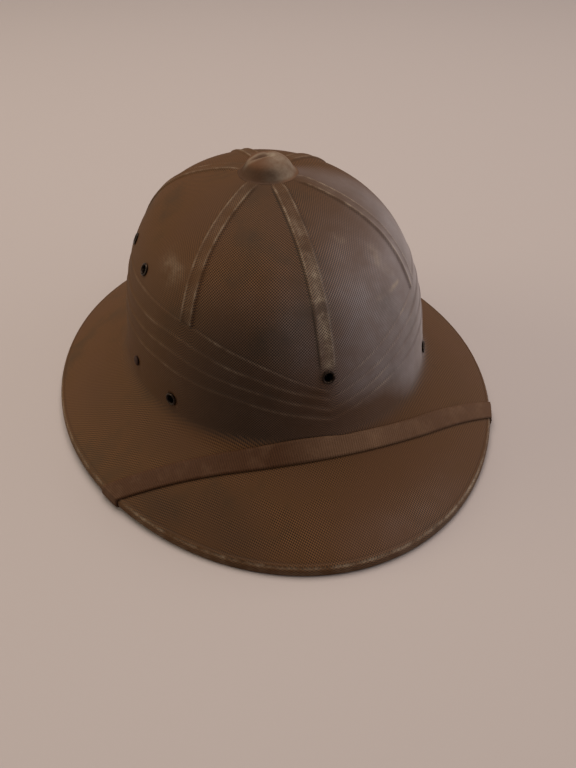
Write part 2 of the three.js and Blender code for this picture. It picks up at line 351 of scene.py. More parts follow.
@dataclass(frozen=True)
class Finish:
    """A finish of one real material, which shows as its own look."""

    name: str

    def look(self, tree: Tree, place: Socket) -> Look:
        """Give the finish's own look; every finish has one."""
        raise NotImplementedError

    def material(self) -> bpy.types.Material:
        """Lay the look's shades over its ground and close the material.

        Returns:
            The material.
        """
        material = bpy.data.materials.new(self.name)
        material.use_nodes = True
        tree = material.node_tree
        tree.nodes.clear()
        look = self.look(tree, add(tree, "ShaderNodeTexCoord").outputs["Object"])
        colour = linear(look.ground)
        for share, shade in look.layers:
            mixed = {"Factor": share, "A": colour, "B": linear(shade)}
            colour = add(tree, "ShaderNodeMix", mixed, data_type="RGBA")
        shader = add(tree, "ShaderNodeBsdfPrincipled", {"Base Color": colour, **look.inputs})
        add(tree, "ShaderNodeOutputMaterial", {"Surface": shader})
        return material


@dataclass(frozen=True)
class CottonTwill(Finish):
    """Cotton twill over pressed fibre: dull brown threads in two tones, grey and dusty where faded, with a
    painted sheen on the wall towards +X and painted shade in its creases and on its front.

    The threads are drawn about 1 mm apart, coarser than real yarn, so that they show in the render.
    """

    name: str = "worn_brown_cotton_twill"
    dark_thread: str = "#160c05"
    light_thread: str = "#704b29"
    warm_stain: str = "#4e331f"
    dark_stain: str = "#33281b"
    # Grey of faded, dusty cloth, also laid as a painted sheen on the wall towards +X and as a painted veil
    # of light low on the crown.
    faded: str = "#928c90"
    # Dark of dirt and of painted shade, laid by the grime mark.
    soiled_and_shaded: str = "#1a1613"
    # Pale of rubbed cloth, also laid as the painted highlight along the brim's edge.
    rubbed: str = "#9c8c79"
    thread_mm: float = 1.05
    thread_tone: float = 2.4
    thread_mean: float = 0.43
    thread_height_mm: float = 0.12
    thread_dust: float = 0.9
    stain_mm: float = 45.0
    patch_mm: float = 11.0
    fleck_mm: float = 3.0
    roughness: float = 0.7
    gloss: float = 0.16
    dust_sheen: float = 0.85
    sheen_spread: float = 0.4
    sheen_tint: str = "#d6d2d6"

    def weave(self, tree: Tree, patch: Node, fade: Socket) -> Node:
        """Weave the threads, as plainly as they show where the cloth has lost its sizing.

        Args:
            tree: Node tree of the material.
            patch: Noise of the cloth's blotches.
            fade: How faded the cloth is and how much painted sheen lies on it, which brings its weft out.

        Returns:
            Light and dark of the threads, round zero.
        """
        turns = 2 * math.pi / (self.thread_mm * MM)
        flat = add(tree, "ShaderNodeUVMap", uv_map=CLOTH_UV)
        scaled = add(tree, "ShaderNodeVectorMath", {0: flat, 1: (turns,) * 3}, operation="MULTIPLY")
        split = add(tree, "ShaderNodeSeparateXYZ", {0: scaled})
        warp, weft = (add(tree, "ShaderNodeMath", {0: split.outputs[k]}, operation="SINE") for k in (0, 1))
        lean = add(tree, "ShaderNodeMath", {0: fade, 1: 0.5, 2: 0.5}, operation="MULTIPLY_ADD")
        woven = add(tree, "ShaderNodeMix", {"Factor": lean, "A": warp, "B": weft}, data_type="FLOAT")
        plain = add(tree, "ShaderNodeAttribute", attribute_name=WEAVE).outputs["Fac"]
        unsized = add(tree, "ShaderNodeMapRange", {
            "Value": patch, "From Min": 0.36, "From Max": 0.64, "To Min": 0.3, "To Max": 1.4,
        })
        bare = add(tree, "ShaderNodeMath", {0: plain, 1: unsized}, operation="MULTIPLY")
        return add(tree, "ShaderNodeMath", {0: woven, 1: bare}, operation="MULTIPLY")

    def look(self, tree: Tree, place: Socket) -> Look:
        """Weave, stain, fade, soil and rub the cloth, and lay on it its painted shade, sheen and highlight.

        Args:
            tree: Node tree of the material.
            place: Place on the object, in metres.

        Returns:
            The look of the cloth.
        """
        broad, patch, fleck = (
            add(tree, "ShaderNodeTexNoise", {
                "Vector": place, "Scale": 1 / (size * MM), "Detail": 4.0, "Roughness": 0.6,
            })
            for size in (self.stain_mm, self.patch_mm, self.fleck_mm)
        )
        fade, grime, wear = (
            add(tree, "ShaderNodeAttribute", attribute_name=name).outputs["Fac"]
            for name in (FADE_AND_SHEEN, GRIME_AND_SHADE, WEAR_AND_LIGHT)
        )
        shown = self.weave(tree, patch, fade)
        tone = add(tree, "ShaderNodeMath", {
            0: shown, 1: self.thread_tone, 2: self.thread_mean,
        }, operation="MULTIPLY_ADD")
        warm, damp, mottle, worn_patch, worn_fleck = (
            add(tree, "ShaderNodeMapRange", {
                "Value": noise, "From Min": low, "From Max": high, "To Min": least, "To Max": most,
            })
            for noise, low, high, least, most in (
                (broad, 0.44, 0.64, 0.0, 0.55),
                (broad, 0.46, 0.32, 0.0, 0.5),
                (patch, 0.3, 0.7, 0.6, 1.0),
                (patch, 0.38, 0.6, 0.1, 1.0),
                (fleck, 0.38, 0.6, 0.4, 1.0),
            )
        )
        # Painted sheen: where the fade mark lies, the cloth is greyed as well as given a sheen.
        fade_and_sheen_share = add(tree, "ShaderNodeMath", {
            0: shown, 1: self.thread_dust, 2: 1.0,
        }, operation="MULTIPLY_ADD")
        for share in (mottle, fade):
            fade_and_sheen_share = add(tree, "ShaderNodeMath", {0: fade_and_sheen_share, 1: share}, operation="MULTIPLY")
        for share in (worn_patch, worn_fleck):
            wear = add(tree, "ShaderNodeMath", {0: wear, 1: share}, operation="MULTIPLY")
        rubbing = add(tree, "ShaderNodeMath", {
            0: shown, 1: wear, 2: wear,
        }, operation="MULTIPLY_ADD", use_clamp=True)
        sheen = add(tree, "ShaderNodeMath", {0: fade, 1: self.dust_sheen}, operation="MULTIPLY")
        normal = add(tree, "ShaderNodeBump", {
            "Height": shown, "Distance": self.thread_height_mm * MM, "Strength": 0.6,
        })
        layers = (
            (tone, self.light_thread), (warm, self.warm_stain), (damp, self.dark_stain),
            (fade_and_sheen_share, self.faded), (grime, self.soiled_and_shaded), (rubbing, self.rubbed),
        )
        return Look(self.dark_thread, layers, {
            "Roughness": self.roughness, "Specular IOR Level": self.gloss, "Sheen Weight": sheen,
            "Sheen Roughness": self.sheen_spread, "Sheen Tint": linear(self.sheen_tint), "Normal": normal,
        })


@dataclass(frozen=True)
class WovenWebbing(Finish):
    """Cotton webbing with fine cross ribs: dull, a little redder than the cloth, faded in its middle."""

    name: str = "brown_cotton_webbing"
    groove: str = "#371f0e"
    rib: str = "#492c16"
    rubbed: str = "#735843"
    rib_mm: float = RIB_PITCH
    rib_tone: float = 0.3
    rib_mean: float = 0.55
    blotch_mm: float = 14.0
    fuzz_mm: float = 0.8
    fuzz_height_mm: float = 0.15
    fade_run_mm: tuple[float, float, float, float] = (185.0, 225.0, 236.0, 282.0)
    fade_most: float = 0.52
    fade_rest: float = 0.4
    roughness: float = 0.7
    gloss: float = 0.2

    def look(self, tree: Tree, place: Socket) -> Look:
        """Rib the band along its length, and fade it in blotches and in its middle.

        Args:
            tree: Node tree of the material.
            place: Place on the object, in metres.

        Returns:
            The look of the webbing.
        """
        run = add(tree, "ShaderNodeAttribute", attribute_name=RUN).outputs["Fac"]
        turns = 2 * math.pi / (self.rib_mm * MM)
        phase = add(tree, "ShaderNodeMath", {0: run, 1: turns}, operation="MULTIPLY")
        wave = add(tree, "ShaderNodeMath", {0: phase}, operation="COSINE")
        tone = add(tree, "ShaderNodeMath", {
            0: wave, 1: self.rib_tone, 2: self.rib_mean,
        }, operation="MULTIPLY_ADD")
        blotch = add(tree, "ShaderNodeTexNoise", {
            "Vector": place, "Scale": 1 / (self.blotch_mm * MM), "Detail": 5.0, "Roughness": 0.6,
        })
        patchy = add(tree, "ShaderNodeMapRange", {
            "Value": blotch, "From Min": 0.5, "From Max": 0.8, "To Min": 0.0, "To Max": 0.35,
        })
        start, full, fall, end = (mark * MM for mark in self.fade_run_mm)
        sunned, kept = (
            add(tree, "ShaderNodeMapRange", {
                "Value": run, "From Min": near, "From Max": far, "To Min": before, "To Max": after,
            }, interpolation_type="SMOOTHSTEP")
            for near, far, before, after in (
                (start, full, 0.0, self.fade_most), (fall, end, 1.0, self.fade_rest),
            )
        )
        faded = add(tree, "ShaderNodeMath", {
            0: sunned, 1: kept, 2: patchy,
        }, operation="MULTIPLY_ADD", use_clamp=True)
        fuzz = add(tree, "ShaderNodeTexNoise", {
            "Vector": place, "Scale": 1 / (self.fuzz_mm * MM), "Detail": 2.0,
        })
        normal = add(tree, "ShaderNodeBump", {
            "Height": fuzz, "Distance": self.fuzz_height_mm * MM, "Strength": 0.5,
        })
        return Look(self.groove, ((tone, self.rib), (faded, self.rubbed)), {
            "Roughness": self.roughness, "Specular IOR Level": self.gloss, "Normal": normal,
        })


@dataclass(frozen=True)
class RubbedCloth(Finish):
    """Cloth rubbed nearly bare over the button: pale and blotched, paler still by painted light on its lit
    side, and darker by painted shade in the dent and on its shaded side.
    """

    name: str = "rubbed_button_cloth"
    left: str = "#573923"
    # Pale of the bare cloth, also laid as painted light on the button's lit side.
    bare: str = "#958979"
    # Dark laid as painted shade, in the dent and on the button's shaded side.
    soiled_and_shaded: str = "#20150b"
    blotch_mm: float = 5.0
    thread_mm: float = 1.1
    thread_height_mm: float = 0.3
    roughness: float = 0.7
    gloss: float = 0.2

    def look(self, tree: Tree, place: Socket) -> Look:
        """Rub the cloth in blotches, light it with painted light and darken it with painted shade.

        Args:
            tree: Node tree of the material.
            place: Place on the object, in metres.

        Returns:
            The look of the button's cloth.
        """
        wear, grime = (
            add(tree, "ShaderNodeAttribute", attribute_name=name).outputs["Fac"] for name in (WEAR_AND_LIGHT, GRIME_AND_SHADE)
        )
        blotch = add(tree, "ShaderNodeTexNoise", {
            "Vector": place, "Scale": 1 / (self.blotch_mm * MM), "Detail": 5.0, "Roughness": 0.6,
        })
        share = add(tree, "ShaderNodeMapRange", {
            "Value": blotch, "From Min": 0.3, "From Max": 0.7, "To Min": 0.35, "To Max": 1.0,
        })
        rubbing = add(tree, "ShaderNodeMath", {0: wear, 1: share}, operation="MULTIPLY", use_clamp=True)
        thread = add(tree, "ShaderNodeTexNoise", {
            "Vector": place, "Scale": 1 / (self.thread_mm * MM), "Detail": 3.0,
        })
        normal = add(tree, "ShaderNodeBump", {
            "Height": thread, "Distance": self.thread_height_mm * MM, "Strength": 0.6,
        })
        return Look(self.left, ((rubbing, self.bare), (grime, self.soiled_and_shaded)), {
            "Roughness": self.roughness, "Specular IOR Level": self.gloss, "Normal": normal,
        })


@dataclass(frozen=True)
class DarkMetal(Finish):
    """Pressed metal under a dark finish: satin, thinned to bare metal in small specks."""

    finish: str
    bare: str
    roughness: float
    metallic: float
    speck_mm: float = 1.6
    speck_height_mm: float = 0.1
    roughness_spread: float = 0.12
    gloss: float = 0.25

    def look(self, tree: Tree, place: Socket) -> Look:
        """Wear the finish in specks and vary its gloss.

        Args:
            tree: Node tree of the material.
            place: Place on the object, in metres.

        Returns:
            The look of the metal.
        """
        speck = add(tree, "ShaderNodeTexNoise", {
            "Vector": place, "Scale": 1 / (self.speck_mm * MM), "Detail": 4.0, "Roughness": 0.65,
        })
        worn = add(tree, "ShaderNodeMapRange", {
            "Value": speck, "From Min": 0.55, "From Max": 0.75, "To Min": 0.0, "To Max": 0.6,
        })
        rough = add(tree, "ShaderNodeMapRange", {
            "Value": speck,
            "To Min": self.roughness - self.roughness_spread,
            "To Max": self.roughness + self.roughness_spread,
        })
        normal = add(tree, "ShaderNodeBump", {
            "Height": speck, "Distance": self.speck_height_mm * MM, "Strength": 0.3,
        })
        return Look(self.finish, ((worn, self.bare),), {
            "Metallic": self.metallic, "Roughness": rough,
            "Specular IOR Level": self.gloss, "Normal": normal,
        })


@dataclass(frozen=True)
class MattPaper(Finish):
    """Matt paper: one even, pale tone without a pattern."""

    name: str = "matt_paper_floor"
    shade: str = "#aaa1a0"
    roughness: float = 0.7

    def look(self, tree: Tree, place: Socket) -> Look:
        """Give the paper its one tone."""
        return Look(self.shade, (), {"Roughness": self.roughness})


@dataclass(frozen=True)
class Crown:
    """Smooth crown without seams and folds: plan ovals stacked on an outline."""

    front: float = 97.8
    back: float = 111.1
    side: float = 90.4
    mid_low: float = -13.1
    mid_top: float = -1.6
    low: float = 22.0
    top: float = 141.4
    height_step: float = 0.2
    outline: tuple[tuple[float, float], ...] = (
        (141.4, 0.0), (140.7, 0.08), (139.2, 0.183), (135.4, 0.351), (129.7, 0.512),
        (121.1, 0.662), (111.4, 0.764), (100.8, 0.836), (88.5, 0.892), (75.7, 0.93),
        (64.7, 0.95), (45.9, 0.974), (30.2, 0.992),
    )

    def scale(self, z: Values) -> np.ndarray:
        """Give the size of the plan oval at a height."""
        depth = np.sqrt(np.maximum(self.top - np.asarray(z, float), 0))
        return smooth_table([(math.sqrt(self.top - row), size) for row, size in self.outline], depth)

    def length(self, t: np.ndarray) -> np.ndarray:
        """Give the length of the oval of scale 1 from its middle to the front or to the back."""
        return np.where(np.cos(t) > 0, self.front, self.back)

    def point(self, z: np.ndarray, t: np.ndarray) -> np.ndarray:
        """Give points of the crown.

        Args:
            z: Heights.
            t: Angles in radians.

        Returns:
            The points.
        """
        size = self.scale(z)
        share = (z - self.low) / (self.top - self.low)
        mid = self.mid_low + (self.mid_top - self.mid_low) * share
        return stack(self.side * size * np.sin(t), mid - self.length(t) * size * np.cos(t), z)

    def rate(self, t: np.ndarray) -> np.ndarray:
        """Give the distance round the oval of scale 1 for each radian."""
        return np.hypot(self.side * np.cos(t), self.length(t) * np.sin(t))

    def off(self, z: np.ndarray, t: np.ndarray, off: Values) -> tuple[np.ndarray, np.ndarray]:
        """Move points outwards from the crown; see off_surface."""
        return off_surface(self.point, np.asarray(z, float), np.asarray(t, float), -self.height_step, off)


@dataclass(frozen=True)
class Brim:
    """Sloping brim with its turned-down lip."""

    crown: Crown
    front: float = 160.3
    back: float = 167.9
    side: float = 133.4
    mid: float = -3.8
    trim: float = 0.0124
    lift: float = 2.4
    level: float = 30.0
    share_step: float = 0.01
    slope: tuple[tuple[float, float], ...] = (
        (0.0, 41.0), (0.03, 38.2), (0.09, 34.6), (0.18, 31.2), (0.4, 24.2),
        (0.6, 18.0), (0.8, 11.6), (0.95, 6.7), (1.0, 5.0),
    )

    @property
    def foot(self) -> float:
        """Height at which the brim leaves the crown."""
        return self.slope[0][1]

    def rise(self, t: np.ndarray) -> np.ndarray:
        """Give the rise of the edge, which is level at the front and back."""
        return self.lift * smooth_step(np.abs(np.sin(t)), math.sin(math.radians(self.level)), 1)

    def edge(self, inset: float, z: float, t: np.ndarray) -> np.ndarray:
        """Give points of the lip.

        Args:
            inset: Distance in from the edge.
            z: Height over the edge's own rise.
            t: Angles in radians.

        Returns:
            The points.
        """
        size = 1 - self.trim * np.sin(2 * t) ** 2
        length = np.where(np.cos(t) > 0, self.front, self.back) - inset
        x = (self.side - inset) * size * np.sin(t)
        return stack(x, self.mid - length * size * np.cos(t), z + self.rise(t))

    def point(self, out: np.ndarray, t: np.ndarray) -> np.ndarray:
        """Give points of the brim's upper face.

        Args:
            out: Shares of the way out from the crown to the edge.
            t: Angles in radians.

        Returns:
            The points.
        """
        inner = self.crown.point(np.full_like(t, self.foot), t)
        share = np.asarray(out, float)[..., None]
        points = inner * (1 - share) + self.edge(0, 0, t) * share
        points[..., 2] = smooth_table(self.slope, np.asarray(out, float)) + out * self.rise(t)
        return points

    def off(self, out: np.ndarray, t: np.ndarray, off: Values) -> tuple[np.ndarray, np.ndarray]:
        """Move points outwards from the brim; see off_surface."""
        return off_surface(self.point, np.broadcast_to(out, t.shape), t, self.share_step, off)


@dataclass(frozen=True)
class Hump:
    """A soft-edged mark along one measure: its middle, its width and its most."""

    middle: float
    width: float
    most: float = 1.0

    def of(self, x: Values) -> Values:
        """Give the mark's strength at places."""
        return self.most * bump(x - self.middle, self.width)


@dataclass(frozen=True)
class Stain:
    """A soft-edged patch, such as dirt, dust or painted shade: its angle and height, its reach both ways
    and its strength.
    """

    at: float
    spread: float
    height: float
    reach: float
    strength: float

    def marks(self, turn: np.ndarray, height: np.ndarray) -> np.ndarray:
        """Give the patch's strength at angles in degrees and at heights."""
        return self.strength * bump(turn - self.at, self.spread) * bump(height - self.height, self.reach)


@dataclass(frozen=True)
class Scuff:
    """A rubbed streak on the crown: angle and height of its start and end, its width and its strength."""

    start: tuple[float, float]
    end: tuple[float, float]
    width: float
    strength: float


@dataclass(frozen=True)
class ClothWear:
    """Where the shell's cloth has lost its sizing, faded, gathered dust, been soiled and been rubbed, and
    where painted shade, painted sheen and a painted veil of light lie on it.

    A pair is the start and the end of a change, by angle in degrees or by height. The pairs of the foot
    are heights over the foot of the crown. Four numbers are a rise and a fall.
    """

    crown: Crown
    foot: float
    scuffs: tuple[Scuff, ...]
    weave_least: float = 0.16
    bare_spread: tuple[float, float] = (42.0, 25.0)
    bare_height: Hump = Hump(92.0, 34.0)
    bare_brim: Stain = Stain(2.0, 20.0, 12.0, 7.0, 0.5)
    # Fading and painted sheen on the wall towards +X: its most, and its reach round the helmet, up the wall
    # and above the foot.
    fade_most: float = 0.53
    fade_and_sheen_turn: tuple[float, float, float, float] = (-10.0, 18.0, 58.0, 110.0)
    fade_and_sheen_height: tuple[float, float, float, float] = (44.0, 69.0, 105.0, 141.0)
    fade_and_sheen_foot: tuple[float, float] = (-6.0, 1.0)
    climb_rate: float = 0.4
    climb_turn: tuple[float, float] = (40.0, 100.0)
    climb_height: tuple[float, float] = (80.0, 110.0)
    drop: float = 17.0
    drop_turn: tuple[float, float] = (19.0, 42.0)
    drop_height: tuple[float, float] = (55.0, 85.0)
    # A painted veil of stray light: faint grey over the lower crown, away from -X.
    painted_haze: float = 0.07
    haze_turn: tuple[float, float] = (-70.0, -10.0)
    haze_height: tuple[float, float] = (105.0, 125.0)
    dust: Stain = Stain(-8.0, 13.0, 92.0, 24.0, 0.25)
    brim_dust: Stain = Stain(15.0, 17.0, 9.0, 8.0, 0.09)
    # Painted shade: the front of the crown, which faces -Y, is darkened, most low down, and its top a
    # little.
    crown_shade_most: float = 0.57
    front_shade_turn: Hump = Hump(-31.0, 31.0)
    front_shade_height: tuple[float, float] = (86.0, 121.0)
    crown_shade_foot: tuple[float, float] = (-6.0, 2.0)
    top_shade_turn: Hump = Hump(5.0, 85.0, 0.4)
    top_shade_height: tuple[float, float] = (110.0, 134.0)
    # Darker patches. The two at heights 12 and 10 are stains on the brim; the one at height 140 is the vent
    # button's painted cast shadow on the crown; the one at -56 is painted shade from the crown on the brim;
    # the rest only darken the brim there.
    dark_patches: tuple[Stain, ...] = (
        Stain(-48.0, 9.0, 12.0, 6.0, 0.4), Stain(-34.0, 9.0, 19.0, 5.0, 0.25),
        Stain(-29.0, 9.0, 10.0, 6.0, 0.32), Stain(-45.0, 24.0, 140.0, 2.5, 0.22),
        Stain(-56.0, 14.0, 29.0, 6.0, 0.12), Stain(-84.0, 14.0, 22.0, 7.0, 0.1),
        Stain(62.0, 15.0, 21.0, 8.0, 0.06),
    )

    def over_foot(self, height: np.ndarray, span: tuple[float, float]) -> np.ndarray:
        """Rise from 0 to 1 over a span of heights by the foot of the crown."""
        return smooth_step(height, self.foot + span[0], self.foot + span[1])

    def weave(self, turn: np.ndarray, height: np.ndarray) -> np.ndarray:
        """Give how plainly the weave shows: most where the front of the crown and brim lost their sizing.

        Args:
            turn: Angles in degrees.
            height: Heights.

        Returns:
            Shares from the least to 1.
        """
        right, left = self.bare_spread
        front = bump(turn, np.where(turn < 0, right, left)) * self.bare_height.of(height)
        bare = np.maximum(front, self.bare_brim.marks(turn, height))
        return self.weave_least + (1 - self.weave_least) * bare

    def fade(self, turn: np.ndarray, height: np.ndarray) -> np.ndarray:
        """Give how grey the cloth is drawn: faded and with a painted sheen on the wall towards +X, dusty by
        the front seam, and under a painted veil of light low on the crown.

        Args:
            turn: Angles in degrees.
            height: Heights.

        Returns:
            Shares of fading and painted sheen.
        """
        climb = self.climb_rate * (np.clip(turn, *self.climb_turn) - self.climb_turn[0])
        drop = self.drop * smooth_step(turn, *self.drop_turn) * (1 - smooth_step(height, *self.drop_height))
        level = height - climb * smooth_step(height, *self.climb_height) + drop
        around, upward = (
            smooth_step(value, low, high) * (1 - smooth_step(value, fall, end))
            for value, (low, high, fall, end) in ((turn, self.fade_and_sheen_turn), (level, self.fade_and_sheen_height))
        )
        # Painted veil of stray light over the lower crown.
        painted_haze = self.painted_haze * (1 - smooth_step(height, *self.haze_height)) * smooth_step(turn, *self.haze_turn)
        wall = np.max([painted_haze, self.dust.marks(turn, height), self.fade_most * around * upward], axis=0)
        return np.maximum(wall * self.over_foot(height, self.fade_and_sheen_foot), self.brim_dust.marks(turn, height))

    def soil_and_shade(self, turn: np.ndarray, height: np.ndarray) -> np.ndarray:
        """Give the darkening: painted shade on the front of the crown, which faces -Y, and a little on its
        top, and the dark patches.

        Args:
            turn: Angles in degrees.
            height: Heights.

        Returns:
            Shares of darkening.
        """
        # Painted shade on the front wall and on the top; the dark patches are added after.
        front = self.front_shade_turn.of(turn) * (1 - smooth_step(height, *self.front_shade_height))
        top = self.top_shade_turn.of(turn) * smooth_step(height, *self.top_shade_height)
        crown = self.crown_shade_most * self.over_foot(height, self.crown_shade_foot) * np.maximum(front, top)
        return crown + sum(stain.marks(turn, height) for stain in self.dark_patches)

    def rubbing(self, points: np.ndarray) -> np.ndarray:
        """Give the rubbing of the streaks.

        Args:
            points: Points of the shell.

        Returns:
            Shares of rubbing.
        """
        marks = np.zeros(points.shape[:-1])
        for scuff in self.scuffs:
            start, end = (
                self.crown.point(np.array(z), np.array(math.radians(at)))
                for at, z in (scuff.start, scuff.end)
            )
            along = end - start
            share = np.clip(((points - start) @ along) / (along @ along), 0, 1)
            gap = np.linalg.norm(points - start - share[..., None] * along, axis=-1)
            marks = np.maximum(marks, scuff.strength * bump(gap, scuff.width))
        return marks


@dataclass(frozen=True)
class Seam:
    """A moulded seam of the crown.

    Its angle, the height of its foot, the plain columns up to the next seam, how rubbed its crests are, and
    how dark its gutters are drawn, with dirt and painted shade.
    """

    at: float
    foot: float
    columns: int
    worn: float
    soiled_and_shaded: float


@dataclass
class Row:
    """One ring of the shell: its points, their angles, how rubbed they are, and how darkened by dirt and
    painted shade.
    """

    region: Region
    points: np.ndarray
    t: np.ndarray
    wear: np.ndarray
    grime: np.ndarray


@dataclass
class HelmetShell:
    """Crown, brim and lip as one cloth-covered wall, with its seams, folds and bored holes.

    Profiles are pairs of a place and a height. A wave has a height, a number round the helmet and a
    shift.
    """

    crown: Crown
    brim: Brim
    cloth: ClothWear
    wall: float = 2.4
    twist: float = 45.0
    bore_depth: float = 24.0
    bore_sides: int = 24

    seam_lines: tuple[float, ...] = (5.0, 4.5, 4.1, 3.8, 3.5, 3.2, 2.9, 2.5, 2.0, 1.4, 0.7)
    seam_profile: tuple[tuple[float, float], ...] = (
        (0.0, 0.7), (1.4, 0.74), (2.2, 0.92), (2.9, 1.08), (3.4, 0.95), (3.9, 0.5), (4.4, 0.12), (5.0, 0.0),
    )
    # The front seam's left gutter takes the strongest painted shadow line.
    seams: tuple[Seam, ...] = (
        Seam(0.0, 77.5, 34, 0.5, 0.9), Seam(51.5, 0.0, 50, 0.66, 0.1),
        Seam(128.5, 0.0, 34, 0.4, 0.3), Seam(180.0, 0.0, 34, 0.4, 0.3),
        Seam(231.5, 0.0, 50, 0.4, 0.3), Seam(308.5, 0.0, 34, 0.42, 0.15),
    )
    seam_fade: tuple[float, float] = (13.5, 21.5)
    seam_widest: float = 16.0
    seam_foot_fade: float = 3.0
    crest: Hump = Hump(3.0, 0.5)
    crest_gain: float = 2.0
    tape_rub: Hump = Hump(0.0, 3.0, 0.06)
    gutter: Hump = Hump(4.4, 0.5)
    gutter_relief: tuple[float, float] = (-0.2, 0.5)
    # Share of the gutters' painted shade on a seam's right side, away from its shadow.
    gutter_far: float = 0.45

    folds: tuple[tuple[float, float], ...] = ((94.5, 29.0), (85.0, 25.0), (76.0, 21.5), (66.5, 17.0))
    fold_reach: float = 70.0
    fold_power: float = 1.85
    fold_waves: tuple[tuple[float, float, float], ...] = ((0.35, 7.0, 1.7), (0.25, 13.0, 0.9))
    fold_edge: tuple[tuple[float, float], ...] = (
        (1.8, -0.25), (1.2, -0.19), (0.7, -0.02), (0.3, 0.2), (0.0, 0.31), (-0.5, 0.33), (-1.3, 0.26),
    )
    fold_rest: float = -0.25
    fold_shares: tuple[float, ...] = (0.3, 0.6, 0.85)
    fold_end: float = 0.62
    fold_wear: tuple[float, ...] = (0.24, 0.2, 0.16, 0.14)
    fold_ridge: Hump = Hump(-0.1, 0.45)
    fold_gap: Hump = Hump(0.0, 6.0, 0.85)
    fold_rub: Hump = Hump(30.0, 14.0, 2.6)
    rub_mean: float = 0.5
    rub_waves: tuple[tuple[float, float, float], ...] = ((0.35, 9.0, 0.08), (0.25, 23.0, 0.19))
    pocket: tuple[float, float] = (0.5, 1.3)
    # Painted shade in the pocket under each fold's edge.
    pocket_shade: float = 0.1
    flap_wear: float = 0.04

    hole_height: float = 140.9
    dome_foot: float = 127.6
    dome_rows: int = 23
    wall_rows: int = 43
    foot_shares: tuple[float, ...] = (0.35, 0.7)
    # Painted shade at the foot of the crown, over the brim.
    foot_shade: float = 0.03
    fillet_shares: tuple[float, ...] = (0.0, 0.012, 0.03, 0.055)
    # Painted shade on the brim next to the crown, in the corner between them.
    fillet_shade: Hump = Hump(0.0, 0.05, 0.12)
    brim_start: float = 0.09
    brim_rows: int = 34
    bead: tuple[tuple[float, float], ...] = (
        (5.0, 0.0), (4.2, -0.05), (3.6, -0.1), (3.2, -0.05), (2.9, 0.08), (2.5, 0.22), (2.1, 0.26),
        (1.7, 0.18),
    )
    # Painted shade in the groove inside the bead.
    bead_shade: Hump = Hump(3.4, 0.6, 0.25)
    lip: tuple[tuple[float, float], ...] = (
        (1.2, 5.3), (0.8, 5.0), (0.45, 4.6), (0.2, 4.1), (0.05, 3.5),
        (0.0, 2.8), (0.0, 2.0), (0.0, 1.2), (0.15, 0.55), (0.5, 0.12), (1.0, 0.0), (1.6, 0.0), (2.1, 0.12),
        (2.5, 0.5), (2.6, 1.2), (2.6, 2.2),
    )
    shoulder_in: Hump = Hump(1.2, 0.55)
    shoulder_down: Hump = Hump(5.3, 0.6)
    face_rub: Hump = Hump(2.0, 2.2, 0.2)
    # Rubbing and painted highlight along the lip's shoulder, most at the front towards +X.
    edge_rub_and_highlight: Hump = Hump(22.0, 30.0, 0.34)
    edge_rub_and_highlight_least: float = 0.44
    under_shares: tuple[float, ...] = (0.97, 0.92, 0.8, 0.7, 0.6, 0.5, 0.4, 0.3, 0.2, 0.12, 0.05)
    inner_heights: tuple[float, ...] = (
        43.0, 46.0, 52.0, 61.0, 70.0, 76.0, 83.0, 89.0, 94.0, 98.0, 102.0, 106.0,
        111.0, 116.0, 121.0, 126.0, 130.0, 134.0, 136.5, 138.8, 140.0, 140.9,
    )
    rows: list[Row] = field(default_factory=list)

    def lines(self) -> np.ndarray:
        """Give the distances of a seam's lines from its middle, left to right."""
        half = np.array(self.seam_lines)
        return np.concatenate([-half, [0.0], half[::-1]])

    def columns(self, size_at: Callable[[np.ndarray], np.ndarray]) -> np.ndarray:
        """Give the angles of all columns in a row.

        Args:
            size_at: Size of the plan oval at an angle.

        Returns:
            Angles in radians: the lines of each seam, then the plain columns up to the next seam.
        """
        lines = self.lines()
        widest = math.radians(self.seam_widest) / lines[-1]
        edges = []
        for seam in self.seams:
            t = np.array([math.radians(seam.at)])
            rate = size_at(t) * self.crown.rate(t)
            edges.append(t + lines * np.minimum(1 / rate, widest))
        angles = []
        for k, seam in enumerate(self.seams):
            last = k == len(self.seams) - 1
            after = edges[0][0] + 2 * math.pi if last else edges[k + 1][0]
            angles.append(edges[k])
            angles.append(np.linspace(edges[k][-1], after, seam.columns + 2)[1:-1])
        return np.concatenate(angles)

    def column_facts(self) -> tuple[np.ndarray, np.ndarray, np.ndarray]:
        """Tell where each column lies.

        Returns:
            Each column's distance from its seam, which is infinite on a panel, the seam's number, and the
            panel's middle angle.
        """
        lines = self.lines()
        across, number, middle = [], [], []
        for k, seam in enumerate(self.seams):
            last = k == len(self.seams) - 1
            following = self.seams[0].at + 360 if last else self.seams[k + 1].at
            count = len(lines) + seam.columns
            across.append(np.concatenate([lines, np.full(seam.columns, np.inf)]))
            number.append(np.full(count, k))
            middle.append(np.full(count, math.radians((seam.at + following) / 2)))
        return np.concatenate(across), np.concatenate(number), np.concatenate(middle)

    def fold_height(self, k: int, t: np.ndarray) -> np.ndarray:
        """Give the height of a fold line, which is level round the sides and falls to the front.

        Args:
            k: Number of the fold, from the top.
            t: Angles in radians.

        Returns:
            Heights of the line.
        """
        side, drop = self.folds[k]
        wave = sum(height * np.sin(count * t + shift * k) for height, count, shift in self.fold_waves)
        fall = np.maximum(1 - np.abs(turn_of(t)) / self.fold_reach, 0) ** self.fold_power
        return side + wave - drop * fall

